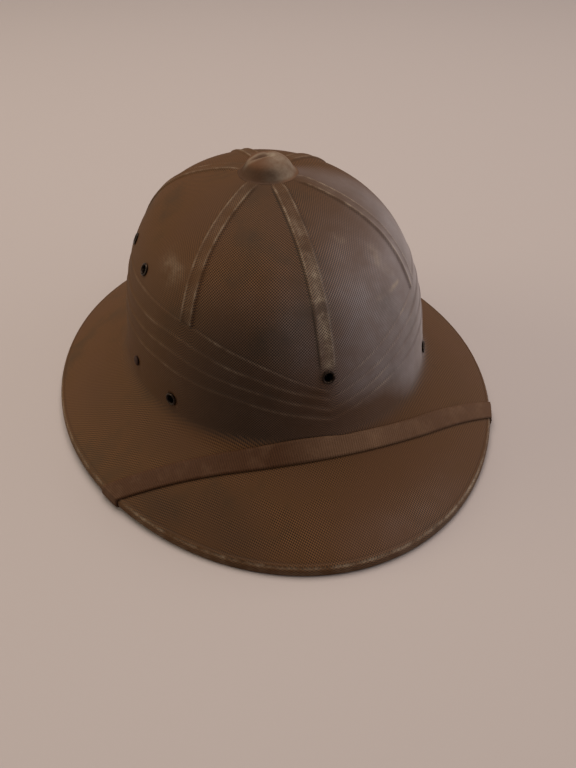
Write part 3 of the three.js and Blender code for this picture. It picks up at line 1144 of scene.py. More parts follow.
    def seam_relief(self, z: np.ndarray) -> np.ndarray:
        """Give the relief of the seams along a row.

        Args:
            z: Heights of the row's columns.

        Returns:
            Distances off the smooth wall.
        """
        across, number, _ = self.column_facts()
        foot = np.array([seam.foot for seam in self.seams])[number]
        distance = np.minimum(np.abs(across), self.seam_lines[0])
        top = smooth_step(self.crown.scale(z) * self.crown.side, *self.seam_fade)
        low = smooth_step(z, foot, foot + self.seam_foot_fade)
        return smooth_table(self.seam_profile, distance) * top * low

    def seam_marks(self, relief: np.ndarray) -> tuple[np.ndarray, np.ndarray]:
        """Give the marks along the seams.

        Args:
            relief: Relief of the seams along a row.

        Returns:
            The rubbing on each seam's crests, and the dirt and painted shade in its gutters, most in the
            one to its left, where the seam's shadow falls.
        """
        across, number, _ = self.column_facts()
        worn = np.array([seam.worn for seam in self.seams])[number]
        soiled_and_shaded = np.array([seam.soiled_and_shaded for seam in self.seams])[number]
        distance = np.minimum(np.abs(across), self.seam_lines[0])
        rubbed = self.crest.of(distance) * worn + self.tape_rub.of(distance)
        # Painted shade: the gutters are darkened, most on each seam's left side.
        gutter_dirt_and_shade = self.gutter.of(distance) * soiled_and_shaded * np.where(across < 0, 1, self.gutter_far)
        deep = np.where(np.isfinite(across), smooth_step(relief, *self.gutter_relief), 0)
        return rubbed * np.clip(relief * self.crest_gain, 0, 1), gutter_dirt_and_shade * deep

    def crown_row(
        self,
        height_at: Callable[[np.ndarray], np.ndarray],
        relief: float | None,
        wear: float = 0.0,
        grime: float = 0.0,
        region: Region = Region.CROWN,
    ) -> Row:
        """Make one ring of the wall.

        Args:
            height_at: Height of the ring at an angle.
            relief: Distance off the smooth wall, or None for the seams' own relief.
            wear: How rubbed the ring is.
            grime: How much painted shade lies on the ring.
            region: Stretch that the ring belongs to.

        Returns:
            The ring.
        """
        t = self.columns(lambda angle: self.crown.scale(height_at(angle)))
        z = height_at(t)
        worn, soiled_and_shaded = np.full_like(t, wear), np.full_like(t, grime)
        if relief is None:
            off = self.seam_relief(z)
            crests, gutter_dirt_and_shade = self.seam_marks(off)
            worn, soiled_and_shaded = worn + crests, soiled_and_shaded + gutter_dirt_and_shade
        else:
            off = np.full_like(t, relief)
            turn = turn_of(t)
            stretch = self.rub_mean + sum(
                height * np.sin(count * t + shift * z) for height, count, shift in self.rub_waves
            )
            worn = worn * np.clip(stretch, 0, 1)
            worn = worn * (1 - self.fold_gap.of(turn)) * (1 + self.fold_rub.of(turn))
        points, _ = self.crown.off(z, t, off)
        return Row(region, points, t, worn, soiled_and_shaded)

    def crown_rows(self) -> list[Row]:
        """Make the rings of the crown from its top hole to the folds.

        Returns:
            The rings, from the top.
        """
        ends = [math.sqrt(self.crown.top - height) for height in (self.hole_height, self.dome_foot)]
        dome = [
            self.crown_row(lambda t, d=d: np.full_like(t, self.crown.top - d * d), None)
            for d in np.linspace(*ends, self.dome_rows)
        ]
        top = self.fold_edge[0][0]
        wall = [
            self.crown_row(
                lambda t, s=s: self.dome_foot * (1 - s) + (self.fold_height(0, t) + top) * s, None,
            )
            for s in np.linspace(0, 1, self.wall_rows)[1:-1]
        ]
        return dome + wall

    def below(self, k: int, t: np.ndarray, top: float) -> np.ndarray:
        """Give the height at which a fold ends: over the next fold, or above the brim.

        Args:
            k: Number of the fold, from the top.
            t: Angles in radians.
            top: Distance over the next fold's line.

        Returns:
            Heights of the fold's end.
        """
        if k + 1 < len(self.folds):
            return self.fold_height(k + 1, t) + top
        return self.fold_height(k, t) * (1 - self.fold_end) + self.brim.foot * self.fold_end

    def band_rows(self) -> list[Row]:
        """Make the rings of the folded band, from its top fold to the foot of the crown.

        Returns:
            The rings, from the top.
        """
        rows = []
        top = self.fold_edge[0][0]
        edge, last_raised = self.fold_edge[-1]
        near, far = self.pocket
        for k in range(len(self.folds)):
            for step, raised in self.fold_edge:
                rows.append(self.crown_row(
                    lambda t, k=k, step=step: self.fold_height(k, t) + step,
                    # The seams run on down to the top fold.
                    None if k == 0 and step > near else raised,
                    wear=self.fold_wear[k] * self.fold_ridge.of(step),
                    grime=self.pocket_shade if near < step < far else 0.0,
                ))
            for share in self.fold_shares:
                rows.append(self.crown_row(
                    lambda t, k=k, share=share: (self.fold_height(k, t) + edge) * (1 - share)
                    + self.below(k, t, top) * share,
                    last_raised + (self.fold_rest - last_raised) * share,
                    wear=self.flap_wear * (1 - share),
                ))
        return rows

    def foot_rows(self) -> list[Row]:
        """Make the rings between the lowest fold and the brim.

        Returns:
            The rings, from the top.
        """
        last = len(self.folds) - 1
        return [
            self.crown_row(
                lambda t, s=s: self.below(last, t, 0) * (1 - s) + self.brim.foot * s,
                self.fold_rest * (1 - s), grime=self.foot_shade,
            )
            for s in self.foot_shares
        ]

    def brim_row(self, out: float, t: np.ndarray) -> Row:
        """Make one ring of the brim at a share of the way out, with painted shade by the foot of the crown.
        """
        points = self.brim.point(np.full_like(t, out), t)
        return Row(Region.BRIM, points, t, np.zeros_like(t), np.full_like(t, self.fillet_shade.of(out)))

    def edge_wear_and_highlight(self, t: np.ndarray) -> np.ndarray:
        """Give how light the brim's edge is drawn: rubbed, with a painted highlight along its shoulder,
        most at the front, towards +X.
        """
        return self.edge_rub_and_highlight_least + self.edge_rub_and_highlight.of(turn_of(t))

    def bead_row(self, inset: float, raised: float, t: np.ndarray) -> Row:
        """Make one ring of the bead where the cloth turns over the edge: rubbed and with a painted
        highlight on top, with painted shade behind.

        Args:
            inset: Distance in from the edge.
            raised: Height over the brim.
            t: Angles in radians.

        Returns:
            The ring.
        """
        out = 1 - inset / np.linalg.norm(self.brim.edge(0, 0, t) - self.brim.point(0 * t, t), axis=-1)
        points = self.brim.point(out, t) + np.array([0.0, 0.0, raised])
        wear = self.edge_wear_and_highlight(t) * self.shoulder_in.of(inset)
        return Row(Region.BRIM, points, t, wear, np.full_like(t, self.bead_shade.of(inset)))

    def lip_row(self, inset: float, z: float, t: np.ndarray) -> Row:
        """Make one ring of the lip: rubbed and with a painted highlight along its shoulder, and rubbed a
        little down its face.
        """
        wear = self.edge_wear_and_highlight(t) * self.shoulder_down.of(z) + self.face_rub.of(z)
        return Row(Region.LIP, self.brim.edge(inset, z, t), t, wear, np.zeros_like(t))

    def make_rows(self) -> list[Row]:
        """Make all rings: down the outside, round the lip and up the inside.

        Returns:
            The rings in order; the last one meets the first at the top hole.
        """
        plain = self.columns(np.ones_like)
        clear = np.zeros_like(plain)
        brim_end = 1 - self.bead[0][0] / (self.brim.side - self.crown.side)
        outs = [*self.fillet_shares, *np.linspace(self.brim_start, brim_end, self.brim_rows)[:-1]]
        brim = [self.brim_row(out, plain) for out in outs]
        bead = [self.bead_row(inset, raised, plain) for inset, raised in self.bead]
        lip = [self.lip_row(inset, z, plain) for inset, z in self.lip]
        under = [
            Row(Region.UNDER, self.brim.off(np.array(out), plain, -self.wall)[0], plain, clear, clear)
            for out in self.under_shares
        ]
        inner = [
            self.crown_row(lambda t, z=z: np.full_like(t, z), -self.wall, region=Region.INSIDE)
            for z in self.inner_heights
        ]
        outside = self.crown_rows() + self.band_rows() + self.foot_rows()
        return outside + brim + bead + lip + under + inner

    def cloth_map(self, points: np.ndarray, angles: np.ndarray) -> np.ndarray:
        """Lay the cloth flat: along and across each panel, or in plan on the brim.

        Args:
            points: Points of all rings, in millimetres.
            angles: Their angles in radians.

        Returns:
            Cloth coordinates in metres for the four corners of every quad.
        """
        count, width = angles.shape
        across, _, middle = self.column_facts()
        steps = np.linalg.norm(np.diff(points, axis=0), axis=-1)
        length = np.vstack([np.zeros(width), np.cumsum(steps, axis=0)])
        on_seam = np.isfinite(across) & np.isfinite(np.roll(across, -1))
        turn = math.radians(self.twist)
        corners = np.zeros((count, width, 4, 2))
        shifts = ((0, 0), (1, 0), (1, 1), (0, 1))
        for c, (down, beside) in enumerate(shifts):
            row = (np.arange(count) + down) % count
            column = (np.arange(width) + beside) % width
            t = angles[row][:, column]
            t = np.where(t < angles - math.pi, t + 2 * math.pi, t)
            p = points[row][:, column]
            v = length[row][:, column]
            size = self.crown.scale(np.minimum(p[..., 2], self.crown.top))
            panel = (t - middle) * self.crown.rate(middle) * size
            tape = np.where(on_seam, across[column], 0)
            u = np.where(on_seam, tape, panel)
            for i, ring in enumerate(self.rows):
                if ring.region in (Region.BRIM, Region.UNDER):
                    u[i], v[i] = p[i, :, 0], p[i, :, 1]
                elif ring.region in (Region.LIP, Region.INSIDE):
                    u[i] = t[i] * self.crown.side
            corners[:, :, c, 0] = u * math.cos(turn) - v * math.sin(turn)
            corners[:, :, c, 1] = u * math.sin(turn) + v * math.cos(turn)
        return corners * MM

    def build(self) -> Piece:
        """Build the wall as one closed mesh with its cloth map and its marks.

        Returns:
            The wall, not yet bored.
        """
        self.rows = self.make_rows()
        points = np.stack([row.points for row in self.rows])
        angles = np.stack([row.t for row in self.rows])
        piece = plain_mesh("shell_cloth", points, ring_faces(*angles.shape, joined=True).tolist())
        uv = piece.data.uv_layers.new(name=CLOTH_UV)
        uv.data.foreach_set("uv", self.cloth_map(points, angles).astype(np.float32).ravel())
        turn, height = turn_of(angles), points[..., 2]
        outside = np.array([row.region in (Region.CROWN, Region.BRIM) for row in self.rows])
        wear = np.stack([row.wear for row in self.rows])
        grime = np.stack([row.grime for row in self.rows])
        marks = {
            WEAR_AND_LIGHT: np.maximum(wear, self.cloth.rubbing(points) * outside[:, None]),
            GRIME_AND_SHADE: grime + self.cloth.soil_and_shade(turn, height),
            WEAVE: self.cloth.weave(turn, height),
            FADE_AND_SHEEN: self.cloth.fade(turn, height),
        }
        for name, values in marks.items():
            give_attribute(piece, name, "FLOAT", values)
        return piece

    def fitting_frames(self, places: Sequence["Fitting"]) -> tuple[np.ndarray, np.ndarray]:
        """Give the points and outward directions of fittings on the crown wall.

        Args:
            places: The fittings.

        Returns:
            Their points and the normals there.
        """
        z = np.array([place.z for place in places])
        t = np.radians([place.at for place in places])
        return self.crown.off(z, t, np.zeros_like(z))

    def bore(self, piece: Piece, sets: Sequence["WallFittings"], finish: bpy.types.Material) -> None:
        """Bore the holes for the fittings through the wall and set the finish.

        Args:
            piece: The wall.
            sets: Sets of fittings whose holes are bored.
            finish: Material of the wall.
        """
        points, out = self.fitting_frames([place for fittings in sets for place in fittings.places])
        marks = plain_mesh("bore_marks", points, [])
        give_attribute(marks, FACING, "FLOAT_VECTOR", out)
        radii = [fittings.bore * MM for fittings in sets for _ in fittings.places]
        give_attribute(marks, BORE, "FLOAT", radii)
        tree, sizes = new_tree("bored_wall", {
            "Marks": "NodeSocketObject", "Depth": "NodeSocketFloat", "Sides": "NodeSocketInt",
            "Finish": "NodeSocketMaterial",
        })
        spots = add(tree, "GeometryNodeObjectInfo", {"Object": sizes["Marks"]})
        facing = add(tree, "GeometryNodeInputNamedAttribute", {"Name": FACING}, data_type="FLOAT_VECTOR")
        radius = add(tree, "GeometryNodeInputNamedAttribute", {"Name": BORE}, data_type="FLOAT")
        turn = add(tree, "FunctionNodeAlignRotationToVector", {"Vector": facing}, axis="Z")
        pin = add(tree, "GeometryNodeMeshCylinder", {
            "Vertices": sizes["Sides"], "Radius": 1.0, "Depth": sizes["Depth"],
        })
        stretch = add(tree, "ShaderNodeCombineXYZ", {0: radius, 1: radius, 2: 1.0})
        pins = add(tree, "GeometryNodeInstanceOnPoints", {
            "Points": spots.outputs["Geometry"], "Instance": pin, "Rotation": turn, "Scale": stretch,
        })
        solid = add(tree, "GeometryNodeRealizeInstances", {"Geometry": pins})
        cut = add(tree, "GeometryNodeMeshBoolean", {
            "Mesh 1": sizes["Geometry"], "Mesh 2": solid,
        }, operation="DIFFERENCE", solver="MANIFOLD")
        close_tree(tree, cut, sizes["Finish"])
        run_tree(piece, tree, {
            "Marks": marks, "Depth": self.bore_depth * MM, "Sides": self.bore_sides, "Finish": finish,
        })
        bpy.data.objects.remove(marks)


@dataclass(frozen=True)
class Fitting:
    """A metal fitting in the crown wall: the solid that it stands for, its angle and its height."""

    node: str
    at: float
    z: float


@dataclass
class WallFittings:
    """A set of like fittings, turned from one section of radii and heights and set into bored holes."""

    name: str
    slot: str
    bore: float
    places: tuple[Fitting, ...]
    section: tuple[tuple[float, float], ...]
    hollow: bool
    sides: int = 40

    def pattern(self) -> Piece:
        """Turn the section into one fitting that stands on the origin along Z.

        Returns:
            The fitting.
        """
        angles = -2 * math.pi * np.arange(self.sides) / self.sides
        radius, height = np.array(self.section).T[:, :, None]
        rings = stack(radius * np.cos(angles), radius * np.sin(angles), height)
        faces = ring_faces(len(self.section), self.sides, joined=self.hollow).tolist()
        if not self.hollow:
            faces += end_faces(len(self.section), self.sides)
        return plain_mesh(f"{self.name}_pattern", rings, faces)

    def build(self, shell: HelmetShell, finish: bpy.types.Material) -> Piece:
        """Set a copy of the pattern at every place.

        Args:
            shell: Wall that carries the fittings.
            finish: Material of the fittings.

        Returns:
            The fittings as one mesh.
        """
        points, out = shell.fitting_frames(self.places)
        piece = plain_mesh(self.name, points, [])
        give_attribute(piece, FACING, "FLOAT_VECTOR", out)
        pattern = self.pattern()
        tree, sizes = new_tree(f"{self.name}_set", {
            "Pattern": "NodeSocketObject", "Finish": "NodeSocketMaterial",
        })
        facing = add(tree, "GeometryNodeInputNamedAttribute", {"Name": FACING}, data_type="FLOAT_VECTOR")
        turn = add(tree, "FunctionNodeAlignRotationToVector", {"Vector": facing}, axis="Z")
        turned = add(tree, "GeometryNodeObjectInfo", {"Object": sizes["Pattern"]})
        copies = add(tree, "GeometryNodeInstanceOnPoints", {
            "Points": sizes["Geometry"], "Instance": turned.outputs["Geometry"], "Rotation": turn,
        })
        close_tree(tree, copies, sizes["Finish"])
        run_tree(piece, tree, {"Pattern": pattern, "Finish": finish})
        bpy.data.objects.remove(pattern)
        hand_over(piece, self.slot, [place.node for place in self.places])
        return piece


@dataclass
class ChinStrap:
    """Woven band over the front of the brim, round its edge and under it to the rivets."""

    shell: HelmetShell
    middle: float = 6.0
    front: float = 115.7
    slope: float = 0.325
    arc: float = 58.0
    mid_width: float = 7.7
    end_width: float = 10.35
    width: float = 10.4
    thick: float = 0.9
    gap: float = 0.15
    anchor: float = 79.8
    rib_pitch: float = RIB_PITCH
    rib_height: float = 0.16
    edge_round: float = 0.35
    edge_power: float = 6.0
    row_step: float = 0.26
    column_count: int = 9
    top_steps: int = 60
    halvings: int = 40
    lip: tuple[tuple[float, float], ...] = (
        (0.9, 4.9), (0.2, 4.2), (0.0, 3.2), (0.0, 0.6), (0.6, 0.0), (2.0, 0.0),
    )
    under: tuple[float, ...] = (
        0.85, 0.75, 0.65, 0.55, 0.45, 0.36, 0.28, 0.22, 0.16, 0.12, 0.08, 0.05, 0.03,
    )
    inside: tuple[float, ...] = (43.0, 45.0, 47.5, 52.0, 56.5)

    def line(self, x: np.ndarray, side: Side) -> np.ndarray:
        """Give the plan line of one edge of the band across the front.

        Args:
            x: Places across the helmet.
            side: Edge of the band.

        Returns:
            Places along the helmet.
        """
        run = np.abs(x - self.middle)
        bend = np.where(run < self.arc, run * run / (2 * self.arc), run - self.arc / 2)
        width = self.mid_width + (self.end_width - self.mid_width) * np.minimum(run / self.arc, 1)
        return self.slope * bend - self.front + side.value * width

    def root(
        self,
        value: Callable[[np.ndarray], np.ndarray],
        low: np.ndarray,
        high: np.ndarray,
    ) -> np.ndarray:
        """Find where falling functions pass zero, by halving.

        Args:
            value: The functions.
            low: Places before the zeros.
            high: Places after the zeros.

        Returns:
            The places of the zeros.
        """
        for _ in range(self.halvings):
            middle = (low + high) / 2
            over = value(middle) > 0
            low, high = np.where(over, middle, low), np.where(over, high, middle)
        return (low + high) / 2

    def turn(self, side: Side, hand: Hand) -> float:
        """Give the angle at which an edge of the band reaches the edge of the brim.

        Args:
            side: Edge of the band.
            hand: Half of the band.

        Returns:
            The angle in radians.
        """
        def over(t: np.ndarray) -> np.ndarray:
            """Give how far the brim's edge is in front of the band's line."""
            edge = self.shell.brim.edge(0, 0, hand.value * t)
            return self.line(edge[..., 0], side) - edge[..., 1]

        return hand.value * float(self.root(over, np.array([0.0]), np.array([math.pi / 2]))[0])

    def on_brim(self, t: np.ndarray, side: Side) -> np.ndarray:
        """Give the points of one edge of the band on the brim.

        Args:
            t: Angles in radians.
            side: Edge of the band.

        Returns:
            The points.
        """
        def over(share: np.ndarray) -> np.ndarray:
            """Give how far points of the brim are behind the band's line."""
            points = self.shell.brim.point(share, t)
            return points[..., 1] - self.line(points[..., 0], side)

        return self.shell.brim.point(self.root(over, np.zeros_like(t), np.ones_like(t)), t)

    @staticmethod
    def across(surface: Callable[[np.ndarray], np.ndarray], t: float, half: float) -> np.ndarray:
        """Give two points of a surface at equal distances either side of an angle.

        Args:
            surface: Points of the surface by angle.
            t: The angle in radians.
            half: Distance to each side.

        Returns:
            The two points.
        """
        step = 0.01
        ends = surface(np.array([t + step, t - step]))
        rate = np.linalg.norm(ends[0] - ends[1]) / (2 * step)
        return surface(np.array([t + half / rate, t - half / rate]))

    def half_route(self, hand: Hand) -> np.ndarray:
        """Give pairs of edge points from the middle of the front to one end inside.

        Args:
            hand: Half of the band.

        Returns:
            The pairs in order.
        """
        brim, crown, wall = self.shell.brim, self.shell.crown, self.shell.wall
        turns = np.array([self.turn(side, hand) for side in Side])
        anchor = hand.value * math.radians(self.anchor)
        shares = np.sin(math.pi / 2 * np.arange(self.top_steps) / self.top_steps)
        top = np.stack([self.on_brim(turn * shares, side) for turn, side in zip(turns, Side)], axis=1)
        lip = np.stack([brim.edge(inset, z, turns) for inset, z in self.lip])
        end_half = self.width / 2
        edge_half = np.linalg.norm(lip[0, 0] - lip[0, 1]) / 2
        pairs = []
        for out in self.under:
            t = anchor + (turns.mean() - anchor) * out
            half = hand.value * (end_half + (edge_half - end_half) * math.sqrt(out))
            pairs.append(self.across(lambda a, out=out: brim.off(np.array(out), a, -wall)[0], t, half))
        for z in self.inside:
            pairs.append(self.across(
                lambda a, z=z: crown.off(np.full_like(a, z), a, -wall)[0], anchor, hand.value * end_half,
            ))
        return np.concatenate([top, lip, np.array(pairs)])

    def route(self) -> tuple[np.ndarray, np.ndarray, np.ndarray]:
        """Give the whole band as evenly spaced pairs of edge points.

        Returns:
            The pairs, the way out from the shell at each pair, and the length run so far.
        """
        pairs = np.concatenate([self.half_route(Hand.RIGHT)[:0:-1], self.half_route(Hand.LEFT)])
        middles = pairs.mean(axis=1)
        ahead = np.gradient(middles, axis=0)
        out = unit(np.cross(ahead, pairs[:, 0] - pairs[:, 1]))
        run = np.concatenate([[0], np.cumsum(np.linalg.norm(np.diff(middles, axis=0), axis=1))])
        even = np.linspace(0, run[-1], int(run[-1] / self.row_step) + 1)
        spread = np.concatenate([pairs.reshape(len(run), -1), out], axis=1)
        smooth = np.stack([np.interp(even, run, column) for column in spread.T], axis=1)
        return smooth[:, :6].reshape(-1, 2, 3), unit(smooth[:, 6:]), even

    def weave_tree(self) -> Tree:
        """Make the tree that thickens the flat band into ribs and rounds its edges.

        Returns:
            The tree.
        """
        tree, sizes = new_tree("woven_band", {
            "Rib pitch": "NodeSocketFloat", "Rib height": "NodeSocketFloat", "Thickness": "NodeSocketFloat",
            "Edge round": "NodeSocketFloat", "Finish": "NodeSocketMaterial",
        })
        run, across, facing = (
            add(tree, "GeometryNodeInputNamedAttribute", {"Name": name}, data_type=kind)
            for name, kind in ((RUN, "FLOAT"), (ACROSS, "FLOAT"), (FACING, "FLOAT_VECTOR"))
        )
        ribs = add(tree, "ShaderNodeMath", {0: run, 1: sizes["Rib pitch"]}, operation="DIVIDE")
        phase = add(tree, "ShaderNodeMath", {0: ribs, 1: 2 * math.pi}, operation="MULTIPLY")
        wave = add(tree, "ShaderNodeMath", {0: phase}, operation="COSINE")
        ribbed = add(tree, "ShaderNodeMath", {
            0: wave, 1: sizes["Rib height"], 2: sizes["Thickness"],
        }, operation="MULTIPLY_ADD")
        edge = add(tree, "ShaderNodeMath", {0: across, 1: self.edge_power}, operation="POWER")
        fall = add(tree, "ShaderNodeMath", {0: edge, 1: sizes["Edge round"]}, operation="MULTIPLY")
        height = add(tree, "ShaderNodeMath", {0: ribbed, 1: fall}, operation="SUBTRACT")
        offset = add(tree, "ShaderNodeVectorMath", {0: facing, "Scale": height}, operation="SCALE")
        raised = add(tree, "GeometryNodeExtrudeMesh", {
            "Mesh": sizes["Geometry"], "Offset": offset, "Offset Scale": 1.0, "Individual": False,
        }, mode="FACES")
        under = add(tree, "GeometryNodeFlipFaces", {"Mesh": sizes["Geometry"]})
        both = add(tree, "GeometryNodeJoinGeometry", {"Geometry": raised})
        tree.links.new(under.outputs["Mesh"], both.inputs["Geometry"])
        closed = add(tree, "GeometryNodeMergeByDistance", {"Geometry": both, "Distance": 0.001 * MM})
        close_tree(tree, closed, sizes["Finish"])
        return tree

    def build(self, finish: bpy.types.Material) -> Piece:
        """Weave the band along its route.

        Args:
            finish: Material of the band.

        Returns:
            The band as one closed mesh.
        """
        pairs, out, run = self.route()
        share = np.linspace(0, 1, self.column_count)
        flat = pairs[:, :1] * (1 - share[:, None]) + pairs[:, 1:] * share[:, None]
        points = flat + out[:, None] * self.gap
        faces = ring_faces(len(run), self.column_count, joined=False, around=False)
        piece = plain_mesh("chin_strap_webbing", points, faces[:, ::-1].tolist())
        give_attribute(piece, RUN, "FLOAT", np.repeat(run, self.column_count) * MM)
        give_attribute(piece, ACROSS, "FLOAT", np.tile(share * 2 - 1, len(run)))
        give_attribute(piece, FACING, "FLOAT_VECTOR", np.repeat(out, self.column_count, axis=0))
        run_tree(piece, self.weave_tree(), {
            "Rib pitch": self.rib_pitch * MM, "Rib height": self.rib_height * MM,
            "Thickness": self.thick * MM, "Edge round": self.edge_round * MM, "Finish": finish,
        })
        hand_over(piece, "webbing", ["chin_strap"])
        LOG.info("chin strap: %.0f mm long", run[-1])
        return piece


@dataclass
class VentButton:
    """Cloth-covered vent button that flares into the top of the crown, with a dent worn into it.

    Its section is radii and heights over the crown. A pair of a lift is heights over the crown too.
    """

    crown: Crown
    y: float = -0.9
    sides: int = 72
    ring_steps: int = 3
    top_depth: float = 3.0
    top_samples: int = 200
    section: tuple[tuple[float, float], ...] = (
        (4.6, -4.0), (4.6, -1.5), (4.6, 0.05), (9.0, 0.05), (13.0, 0.05), (16.4, 0.03), (15.8, 0.15),
        (15.1, 0.5), (14.4, 1.15), (13.7, 2.0), (12.9, 3.1), (12.0, 4.3), (10.9, 5.5), (9.5, 6.5),
        (7.8, 7.25), (5.9, 7.75), (4.3, 7.95), (2.9, 7.95), (1.6, 7.9), (0.4, 7.85),
    )
    dent: tuple[float, float] = (-4.4, 0.4)
    dent_size: tuple[float, float] = (5.0, 2.0)
    dent_depth: float = 1.5
    dent_turn: float = -8.0
    dent_lift: tuple[float, float] = (2.0, 5.0)
    # Painted shade in the dent.
    dent_shade: float = 0.6
    dent_power: float = 1.5
    rim_rub: Hump = Hump(1.3, 0.5, 0.5)
    lump: float = 0.1
    lump_lift: tuple[float, float] = (0.6, 3.5)
    # Painted light: the side towards +X and the front are drawn pale, as wear.
    lit_wear: float = 0.56
    lit_slant: float = 0.5
    lit_reach: tuple[float, float] = (-5.0, 9.0)
    lit_lift: tuple[float, float] = (-0.3, 1.4)
    # Painted shade on the lower side towards -X.
    shade_grime: float = 0.5
    shade_slant: float = 0.6
    shade_reach: tuple[float, float] = (2.0, 11.0)
    shade_lift: tuple[float, float] = (3.5, 6.5)

    def crown_height(self, x: np.ndarray, y: np.ndarray) -> np.ndarray:
        """Give the height of the crown's top.

        Args:
            x: Places across the helmet.
            y: Places along the helmet.

        Returns:
            Heights of the crown there.
        """
        away = y - self.crown.mid_top
        size = np.hypot(x / self.crown.side, away / np.where(away < 0, self.crown.front, self.crown.back))
        heights = self.crown.top - np.linspace(0, self.top_depth, self.top_samples) ** 2
        return np.interp(size, self.crown.scale(heights), heights)

    def dent_place(self, x: np.ndarray, y: np.ndarray) -> tuple[np.ndarray, np.ndarray]:
        """Give places along and across the dent, in sizes of the dent.

        Args:
            x: Places across the button.
            y: Places along the button.

        Returns:
            Places along the dent and across it.
        """
        turn = math.radians(self.dent_turn)
        dx, dy = x - self.dent[0], y - self.dent[1]
        along = (dx * math.cos(turn) + dy * math.sin(turn)) / self.dent_size[0]
        return along, (dy * math.cos(turn) - dx * math.sin(turn)) / self.dent_size[1]

    def build(self, finish: bpy.types.Material) -> Piece:
        """Build the button with its dent, lumps and rubbing, painted light on its lit side, and painted
        shade in the dent and on its shaded side.

        Args:
            finish: Material of the button.

        Returns:
            The button as one closed mesh.
        """
        number = np.arange(len(self.section))
        run = np.linspace(0, number[-1], self.ring_steps * number[-1] + 1)
        radius, lift = (smooth_table(list(zip(number, column)), run) for column in np.array(self.section).T)
        angles = -2 * math.pi * np.arange(self.sides) / self.sides
        x, y = radius[:, None] * np.cos(angles), radius[:, None] * np.sin(angles)
        lift = np.repeat(lift[:, None], self.sides, axis=1)
        along, aside = self.dent_place(x, y)
        hollow = bump(along, 1) * bump(aside, 1) * smooth_step(lift, *self.dent_lift)
        upper = smooth_step(lift, *self.lump_lift)
        # Waves round the button and a slanting one across it, so that no two lumps are alike.
        lumps = np.sin(3 * angles + 0.6) + 0.7 * np.sin(5 * angles + 0.5 * lift) + np.sin(0.7 * x + 0.9 * y)
        raised = lift - self.dent_depth * hollow + self.lump * lumps * upper
        points = stack(x, y + self.y, self.crown_height(x, y + self.y) + raised)
        faces = ring_faces(len(run), self.sides, joined=False).tolist() + end_faces(len(run), self.sides)
        piece = plain_mesh("vent_button", points, faces)
        # Painted light on the side towards +X and the front, laid with the rubbing of the dent's rim.
        lit = smooth_step(x - self.lit_slant * y, *self.lit_reach) * smooth_step(lift, *self.lit_lift)
        wear = self.lit_wear * lit + self.rim_rub.of(np.hypot(along, aside)) * upper
        # Painted shade on the lower side towards -X and in the dent.
        shaded = smooth_step(-x - self.shade_slant * y, *self.shade_reach)
        shaded = shaded * (1 - smooth_step(lift, *self.shade_lift))
        grime = self.dent_shade * hollow ** self.dent_power + self.shade_grime * shaded
        give_attribute(piece, WEAR_AND_LIGHT, "FLOAT", np.clip(wear, 0, 1))
        give_attribute(piece, GRIME_AND_SHADE, "FLOAT", np.clip(grime, 0, 1))
        piece.data.materials.append(finish)
        hand_over(piece, "button", ["crown_button"])
        return piece


@dataclass(frozen=True)
class Softbox:
    """A large soft lamp: angles in degrees, distance, width and height in metres, power and colour."""

    name: str
    azimuth: float
    elevation: float
    distance: float
    width: float
    height: float
    power: float
    colour: str

    def build(self, aim: Vector) -> None:
        """Hang the lamp and turn it to the helmet.

        Args:
            aim: Point that the lamp looks at, in metres.
        """
        lamp = bpy.data.lights.new(self.name, "AREA")
        lamp.shape = "RECTANGLE"
        lamp.size = self.width
        lamp.size_y = self.height
        lamp.energy = self.power
        lamp.color = linear(self.colour)[:3]
        holder = bpy.data.objects.new(self.name, lamp)
        bpy.context.scene.collection.objects.link(holder)
        back = direction(math.radians(self.azimuth), math.radians(self.elevation))
        holder.location = aim + back * self.distance
        holder.rotation_euler = (-back).to_track_quat("-Z", "Y").to_euler()


